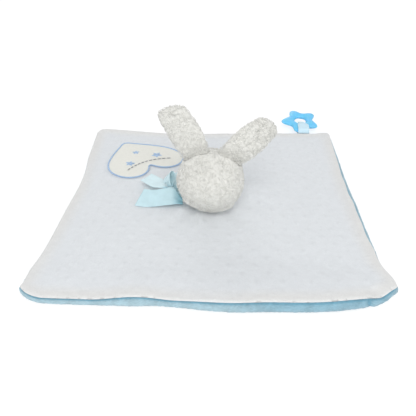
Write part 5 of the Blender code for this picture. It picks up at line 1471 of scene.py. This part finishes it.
class BLANKET_OT_bow(bpy.types.Operator):
    """Tie the bow: its pleated knot, a standing loop, a loop behind, and two tails"""

    bl_idname = "blanket.bow"
    bl_label = "Bow"

    def execute(self, context):
        self.knot()
        near = heading(NEAR_LOOP_HEADING, NEAR_LOOP_RISE)
        near_across = np.cross(np.cross(near, heading(NEAR_LOOP_ACROSS_HEADING)), near)
        self.loop("standing_loop", "bow_loop_near", near, near_across, NEAR_LOOP_LENGTH, NEAR_LOOP_BULGE,
                  NEAR_LOOP_OPEN, NEAR_LOOP_SLANT)
        far = heading(FAR_LOOP_HEADING, FAR_LOOP_RISE)
        far_across = turned(heading(FAR_LOOP_HEADING - 90), far, FAR_LOOP_ROLL)
        self.loop("rear_loop", "bow_loop_far", far, far_across, FAR_LOOP_LENGTH, FAR_LOOP_BULGE, 1.0, 0.0)

        lean = radians(FRONT_TAIL_LEAN)
        across = np.array([0, sin(lean), cos(lean)]) * RIBBON_WIDTH / 2
        hinge = np.array([KNOT_PLACE[0] + KNOT_SIZE[0] / 2, FRONT_TAIL_Y, FRONT_TAIL_EDGE_HEIGHT + across[2]])
        piece = self.tail("front_tail", "bow_tail_front", None, hinge + (FRONT_TAIL_ROOT, 0, 0),
                          hinge - (FRONT_TAIL_LENGTH, 0, 0), across * 0.42, across, FRONT_TAIL_CUT, 0.0012,
                          np.array([0, -0.0034, -0.0020]))
        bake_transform(piece)
        way = heading(REAR_TAIL_HEADING)
        start = KNOT_PLACE + way * (knot_reach(way) + GAP)
        end = start + way * REAR_TAIL_LENGTH
        end[2] = REAR_TAIL_END_HEIGHT
        dip = turned(np.cross((0, 0, 1), way), way, REAR_TAIL_DIP)
        self.tail("rear_tail", "bow_tail_rear", "tail_rear", start, end, dip * RIBBON_WIDTH * 0.15,
                  dip * RIBBON_WIDTH / 2, REAR_TAIL_CUT, 0.0)
        return {"FINISHED"}

    def knot(self):
        """A soft pillow whose surface is creased by pleats that run over it from front to back."""
        fall, turn = np.linspace(0, pi, 40)[:, None], turns(80)[None]
        ball = [np.sin(fall) * np.cos(turn), np.sin(fall) * np.sin(turn), np.cos(fall) + 0 * turn]
        ball = np.stack(ball, axis=-1)
        power = np.sign(ball) * np.abs(ball) ** 0.85
        crease = 1 - 0.07 * (0.5 + 0.5 * np.cos(ball[..., 0] * 11)) * np.sin(fall)
        points = KNOT_PLACE + unit(power) * KNOT_SIZE / 2 * crease[..., None]
        uv = np.stack(np.broadcast_arrays(turn * 0.005, fall * 0.004), axis=-1)
        piece = new_piece("knot", points, grid_faces(40, 80, False, True), finish("satin_ribbon"), "neck",
                          ["bow_knot"], uv)

    def loop(self, name, node, direction, across, length, bulge, open_share, slant):
        """Out from the knot, round and back: a flattened circle, pinched and pleated where it leaves the
        knot, opening to a share of the ribbon's width, its crest slanting along that width."""
        turn = (np.arange(120) + 0.5) * 2 * pi / 120
        out = (1 - np.cos(turn)) / 2
        thick = np.sin(turn) * bulge * (LOOP_PINCH + (1 - LOOP_PINCH) * smooth(out * 2))
        side = unit(np.cross(direction, across))
        start = KNOT_PLACE + direction * (knot_reach(direction) + GAP + RIBBON_THICKNESS / 2)
        route = start + direction * (out * length)[:, None] + side * thick[:, None]
        opened = smooth(out * 1.4)
        width = RIBBON_WIDTH / 2 * (LOOP_PINCH + (open_share - LOOP_PINCH) * opened)
        across = unit(across) * width[:, None] - unit(direction) * (slant * width * opened)[:, None]
        pleats = lambda u, v: 0.0005 * np.cos(8 * v) * (1 - smooth(2.2 * out[:, None])) + 0 * u
        # Painted shade, darkest where the loop leaves the knot.
        tuck_shade = lambda u, v: 0.5 - smooth(out[:, None] * 2.6) + 0 * v
        piece, length = ribbon(name, route, across, "satin_ribbon", "neck", [node], True,
                               pleats, tuck_shade)
        flat = (RIBBON_WIDTH, length)
        cloth_area(piece, flat)

    def tail(self, name, node, body, start, end, across_start, across_end, cut_length, wave,
             aside=np.zeros(3)):
        """A softly waved run whose width turns from the knot on, its end cut at a slant."""
        share = np.linspace(0, 1, 70)[:, None]
        route = start + (end - start) * share + aside * (1 - smooth(share * 4.5))
        route[:, 2] += wave * np.sin(2 * pi * share[:, 0])
        mix = smooth(share * (2.5 if body else 4.0))
        across = across_start * (1 - mix) + across_end * mix
        slant = unit(end - start) * cut_length / 2
        gathers = lambda u, v: 0.00045 * np.cos(5 * v + 0.5) * (1 - smooth(u * 3))
        pleats = lambda u, v: gathers(u, v) + 0.0003 * np.sin(5 * u + 2 * v)
        skew = slant / RIBBON_WIDTH * 2
        across = across - skew * (np.linalg.norm(across, axis=1)[:, None] * smooth((share - 0.4) / 0.6))
        # Painted shade: darkest at the root by the knot. The front tail is also a little darker all along.
        base, depth, run = (0, 1, 0.22) if body else (0.22, 0.9, 0.30)
        tuck_shade = lambda u, v: base + depth * (1 - smooth(u / run)) + 0 * v
        piece, length = ribbon(name, route, across, "satin_ribbon", body, [node], False,
                               pleats, tuck_shade)
        flat = (RIBBON_WIDTH, length)
        cloth_area(piece, flat)
        return piece


def teether_frame():
    """The strap's hinge, the way out along the tilted ring, and the ring's middle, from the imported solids."""
    out = np.array([0, cos(radians(TEETHER_TILT)), sin(radians(TEETHER_TILT))])
    hinge = np.array(next(joint for joint in frame["joints"] if joint["name"] == "loop_fold")["pos_m"])
    return hinge, out, hinge + out * LOOP_TO_TEETHER + (TEETHER_OFFSET, 0, 0)


class BLANKET_OT_teether(bpy.types.Operator):
    """Mould the teether: one rounded section carried round its hole, reaching out in five rounded arms"""

    bl_idname = "blanket.teether"
    bl_label = "Teether"

    def execute(self, context):
        _, out, centre = teether_frame()
        up = np.cross((1, 0, 0), out)
        angles = turns(360)
        arm = ((1 + np.cos(TEETHER_ARMS * (angles - radians(TEETHER_ARM_HEADING)))) / 2) ** 1.3
        reach = TEETHER_VALLEY + (TEETHER_REACH - TEETHER_VALLEY) * arm
        turn = turns(48)
        outward, rise = (np.sign(wave) * np.abs(wave) ** (2 / 2.3) for wave in (np.cos(turn), np.sin(turn)))
        seam = 0.00012 * np.exp(-((turn - pi) ** 2 % (2 * pi) ** 2 - pi ** 2) ** 2 / 0.01)
        distance = ((reach + TEETHER_HOLE_RADIUS)[:, None] / 2
                    + (reach - TEETHER_HOLE_RADIUS)[:, None] / 2 * outward[None] + seam[None])
        thin = 1 - 0.28 * arm[:, None] * np.clip(outward, 0, 1)[None]
        height = TEETHER_THICKNESS / 2 * rise[None] * thin
        spoke = np.cos(angles)[:, None] * np.array([1.0, 0, 0]) + np.sin(angles)[:, None] * out
        rings = centre + spoke[:, None] * distance[..., None] + up * height[..., None]
        new_piece("star_teether", rings, grid_faces(360, 48, True, True), finish("silicone"), "teether",
                  ["teether"])
        return {"FINISHED"}


class BLANKET_OT_strap(bpy.types.Operator):
    """Loop the strap: from the seam over the teether's near arm, down through its hole and back below"""

    bl_idname = "blanket.strap"
    bl_label = "Teether strap"

    def execute(self, context):
        hinge, out, _ = teether_frame()
        up = np.cross((1, 0, 0), out)
        hole_chord = sqrt((TEETHER_HOLE_RADIUS - GAP) ** 2 - (LOOP_HOLE_WIDTH / 2) ** 2)
        end = LOOP_TO_TEETHER - hole_chord + LOOP_THICKNESS / 2
        half = TEETHER_THICKNESS / 2 + LOOP_CLEARANCE + LOOP_THICKNESS / 2
        start = LOOP_THICKNESS / 2
        root = start + LOOP_TONGUE
        steps = ((start, 0.0), (start + half * 0.06, 0.16), (root, 0.2), (root + half * 0.25, 0.7),
                 (root + half * 0.8, 1.0), (end - half * 0.9, 1.0), (end - half * 0.3, 0.86),
                 (end - half * 0.06, 0.5), (end, 0.0))
        sides = list(steps) + [(along, -share) for along, share in reversed(steps[1:-1])]
        line = closed_line(sides, 200)
        narrow = smooth((line[:, 0] - (end - 2 * half)) / (1.4 * half))
        width = LOOP_WIDTH + (LOOP_HOLE_WIDTH - LOOP_WIDTH) * narrow
        route = (hinge + line[:, :1] * out + (line[:, 1] * half)[:, None] * up
                 + narrow[:, None] * (TEETHER_OFFSET, 0, 0))
        across = np.array([0.5, 0, 0]) * width[:, None]
        piece, length = ribbon("teether_strap", route, across, "strap_ribbon", "loop", ["teether_loop"],
                               True)
        flat = (LOOP_WIDTH, length)
        cloth_area(piece, flat)
        return {"FINISHED"}


class BLANKET_OT_threads(bpy.types.Operator):
    """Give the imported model's own sewing threads their finish"""

    bl_idname = "blanket.threads"
    bl_label = "Threads"

    def execute(self, context):
        for node in ("edge_seam_thread", "neck_stitching"):
            packed = frame["nodes"][node]
            packed.data.materials.clear()
            packed.data.materials.append(finish("white_thread"))
        return {"FINISHED"}


def seen_plainly(material):
    """1 for rays from the camera, off gloss and through glass, and 0 for the rays that light the pieces."""
    path = add_node(material, "ShaderNodeLightPath").outputs
    return sum_of(material, sum_of(material, path["Is Camera Ray"], path["Is Glossy Ray"], "MAXIMUM"),
                  path["Is Transmission Ray"], "MAXIMUM")


class BLANKET_OT_stage(bpy.types.Operator):
    """Set the floor, the lamps, the sky and the camera"""

    bl_idname = "blanket.stage"
    bl_label = "Stage"

    def execute(self, context):
        self.floor()
        self.sky()
        for place, energy, width in LAMPS:
            self.lamp(place, energy, width)
        self.camera()
        context.scene.view_settings.view_transform = "Standard"
        return {"FINISHED"}

    def floor(self):
        """A wide plain square just below the blanket: near white to the camera, and it keeps the shadow."""
        half = FLOOR_SIDE / 2
        square = ((-half, -half), (half, -half), (half, half), (-half, half))
        mesh = bpy.data.meshes.new("floor")
        mesh.from_pydata([(x, y, -FLOOR_DROP) for x, y in square], [], [(0, 1, 2, 3)])
        floor = bpy.data.objects.new("floor", mesh)
        bpy.context.scene.collection.objects.link(floor)
        material = bpy.data.materials.new("studio_floor")
        material.use_nodes = True
        nodes, links = material.node_tree.nodes, material.node_tree.links
        shader = nodes["Principled BSDF"]
        shader.inputs["Base Color"].default_value = (0.9, 0.9, 0.9, 1)
        shader.inputs["Roughness"].default_value = 1.0
        glow = add_node(material, "ShaderNodeEmission", {"Color": (1, 1, 1, 1), "Strength": 1.2})
        share = sum_of(material, seen_plainly(material), 0.6, "MULTIPLY")
        mix = add_node(material, "ShaderNodeMixShader", {0: share, 1: shader.outputs[0], 2: glow.outputs[0]})
        links.new(mix.outputs[0], nodes["Material Output"].inputs["Surface"])
        mesh.materials.append(material)

    def sky(self):
        """An even pale light, brighter towards the horizon, seen as plain white."""
        world = bpy.data.worlds.new("studio")
        bpy.context.scene.world = world
        world.use_nodes = True
        links = world.node_tree.links
        way = coordinates(world, "Generated")
        way = add_node(world, "ShaderNodeSeparateXYZ", {"Vector": way}).outputs["Z"]
        low = sum_of(world, sum_of(world, 1.0, way, "SUBTRACT"), 2.0, "POWER")
        strength = sum_of(world, sum_of(world, low, SKY_RISE, "MULTIPLY"), SKY_LIGHT)
        light = world.node_tree.nodes["Background"]
        light.inputs["Color"].default_value = (0.97, 0.98, 1.0, 1)
        links.new(strength, light.inputs["Strength"])
        white = add_node(world, "ShaderNodeBackground", {"Color": (1, 1, 1, 1)})
        inputs = {0: seen_plainly(world), 1: light.outputs[0], 2: white.outputs[0]}
        mix = add_node(world, "ShaderNodeMixShader", inputs)
        links.new(mix.outputs[0], world.node_tree.nodes["World Output"].inputs["Surface"])

    def lamp(self, place, energy, width):
        """A square soft lamp that faces the blanket's middle."""
        data = bpy.data.lights.new("soft_lamp", "AREA")
        data.energy, data.size = energy, width
        lamp = bpy.data.objects.new("soft_lamp", data)
        bpy.context.scene.collection.objects.link(lamp)
        x, y, z = place
        lamp.location = place
        lamp.rotation_euler = Euler((atan(sqrt(x * x + y * y) / z), 0, float(np.arctan2(y, x)) + pi / 2))

    def camera(self):
        """The photograph's camera."""
        data = bpy.data.cameras.new("camera")
        data.sensor_width = SENSOR_WIDTH
        data.lens = CAMERA_FOCUS / PICTURE_SIDE * SENSOR_WIDTH
        data.clip_start, data.clip_end = 0.01, 50
        camera = bpy.data.objects.new("camera", data)
        bpy.context.scene.collection.objects.link(camera)
        camera.location = CAMERA_PLACE
        camera.rotation_euler = (radians(90 - CAMERA_DROP), 0, radians(CAMERA_TURN))
        bpy.context.scene.camera = camera


OPERATORS = (BLANKET_OT_backing, BLANKET_OT_top_panel, BLANKET_OT_heart, BLANKET_OT_motif, BLANKET_OT_neck,
             BLANKET_OT_head, BLANKET_OT_face, BLANKET_OT_ears, BLANKET_OT_neck_ribbon, BLANKET_OT_bow,
             BLANKET_OT_teether, BLANKET_OT_strap, BLANKET_OT_threads, BLANKET_OT_stage)


class BLANKET_PT_panel(bpy.types.Panel):
    """The blanket's sizes, colours and pieces"""

    bl_label = "Comfort blanket"
    bl_idname = "BLANKET_PT_panel"
    bl_space_type = "VIEW_3D"
    bl_region_type = "UI"
    bl_category = "Comfort blanket"

    def draw(self, context):
        for group in (context.scene.blanket_sizes, context.scene.blanket_colours):
            for key in group.__annotations__:
                self.layout.prop(group, key)
        for operator in OPERATORS:
            self.layout.operator(operator.bl_idname)


CLASSES = (BlanketColours, BlanketSizes, *OPERATORS, BLANKET_PT_panel)


def register():
    for one in CLASSES:
        bpy.utils.register_class(one)
    bpy.types.Scene.blanket_colours = PointerProperty(type=BlanketColours)
    bpy.types.Scene.blanket_sizes = PointerProperty(type=BlanketSizes)


def unregister():
    del bpy.types.Scene.blanket_sizes
    del bpy.types.Scene.blanket_colours
    for one in reversed(CLASSES):
        bpy.utils.unregister_class(one)


def main():
    """Make every piece."""
    register()
    for operator in OPERATORS:
        family, name = operator.bl_idname.split(".")
        getattr(getattr(bpy.ops, family), name)()


if __name__ == "__main__":
    main()
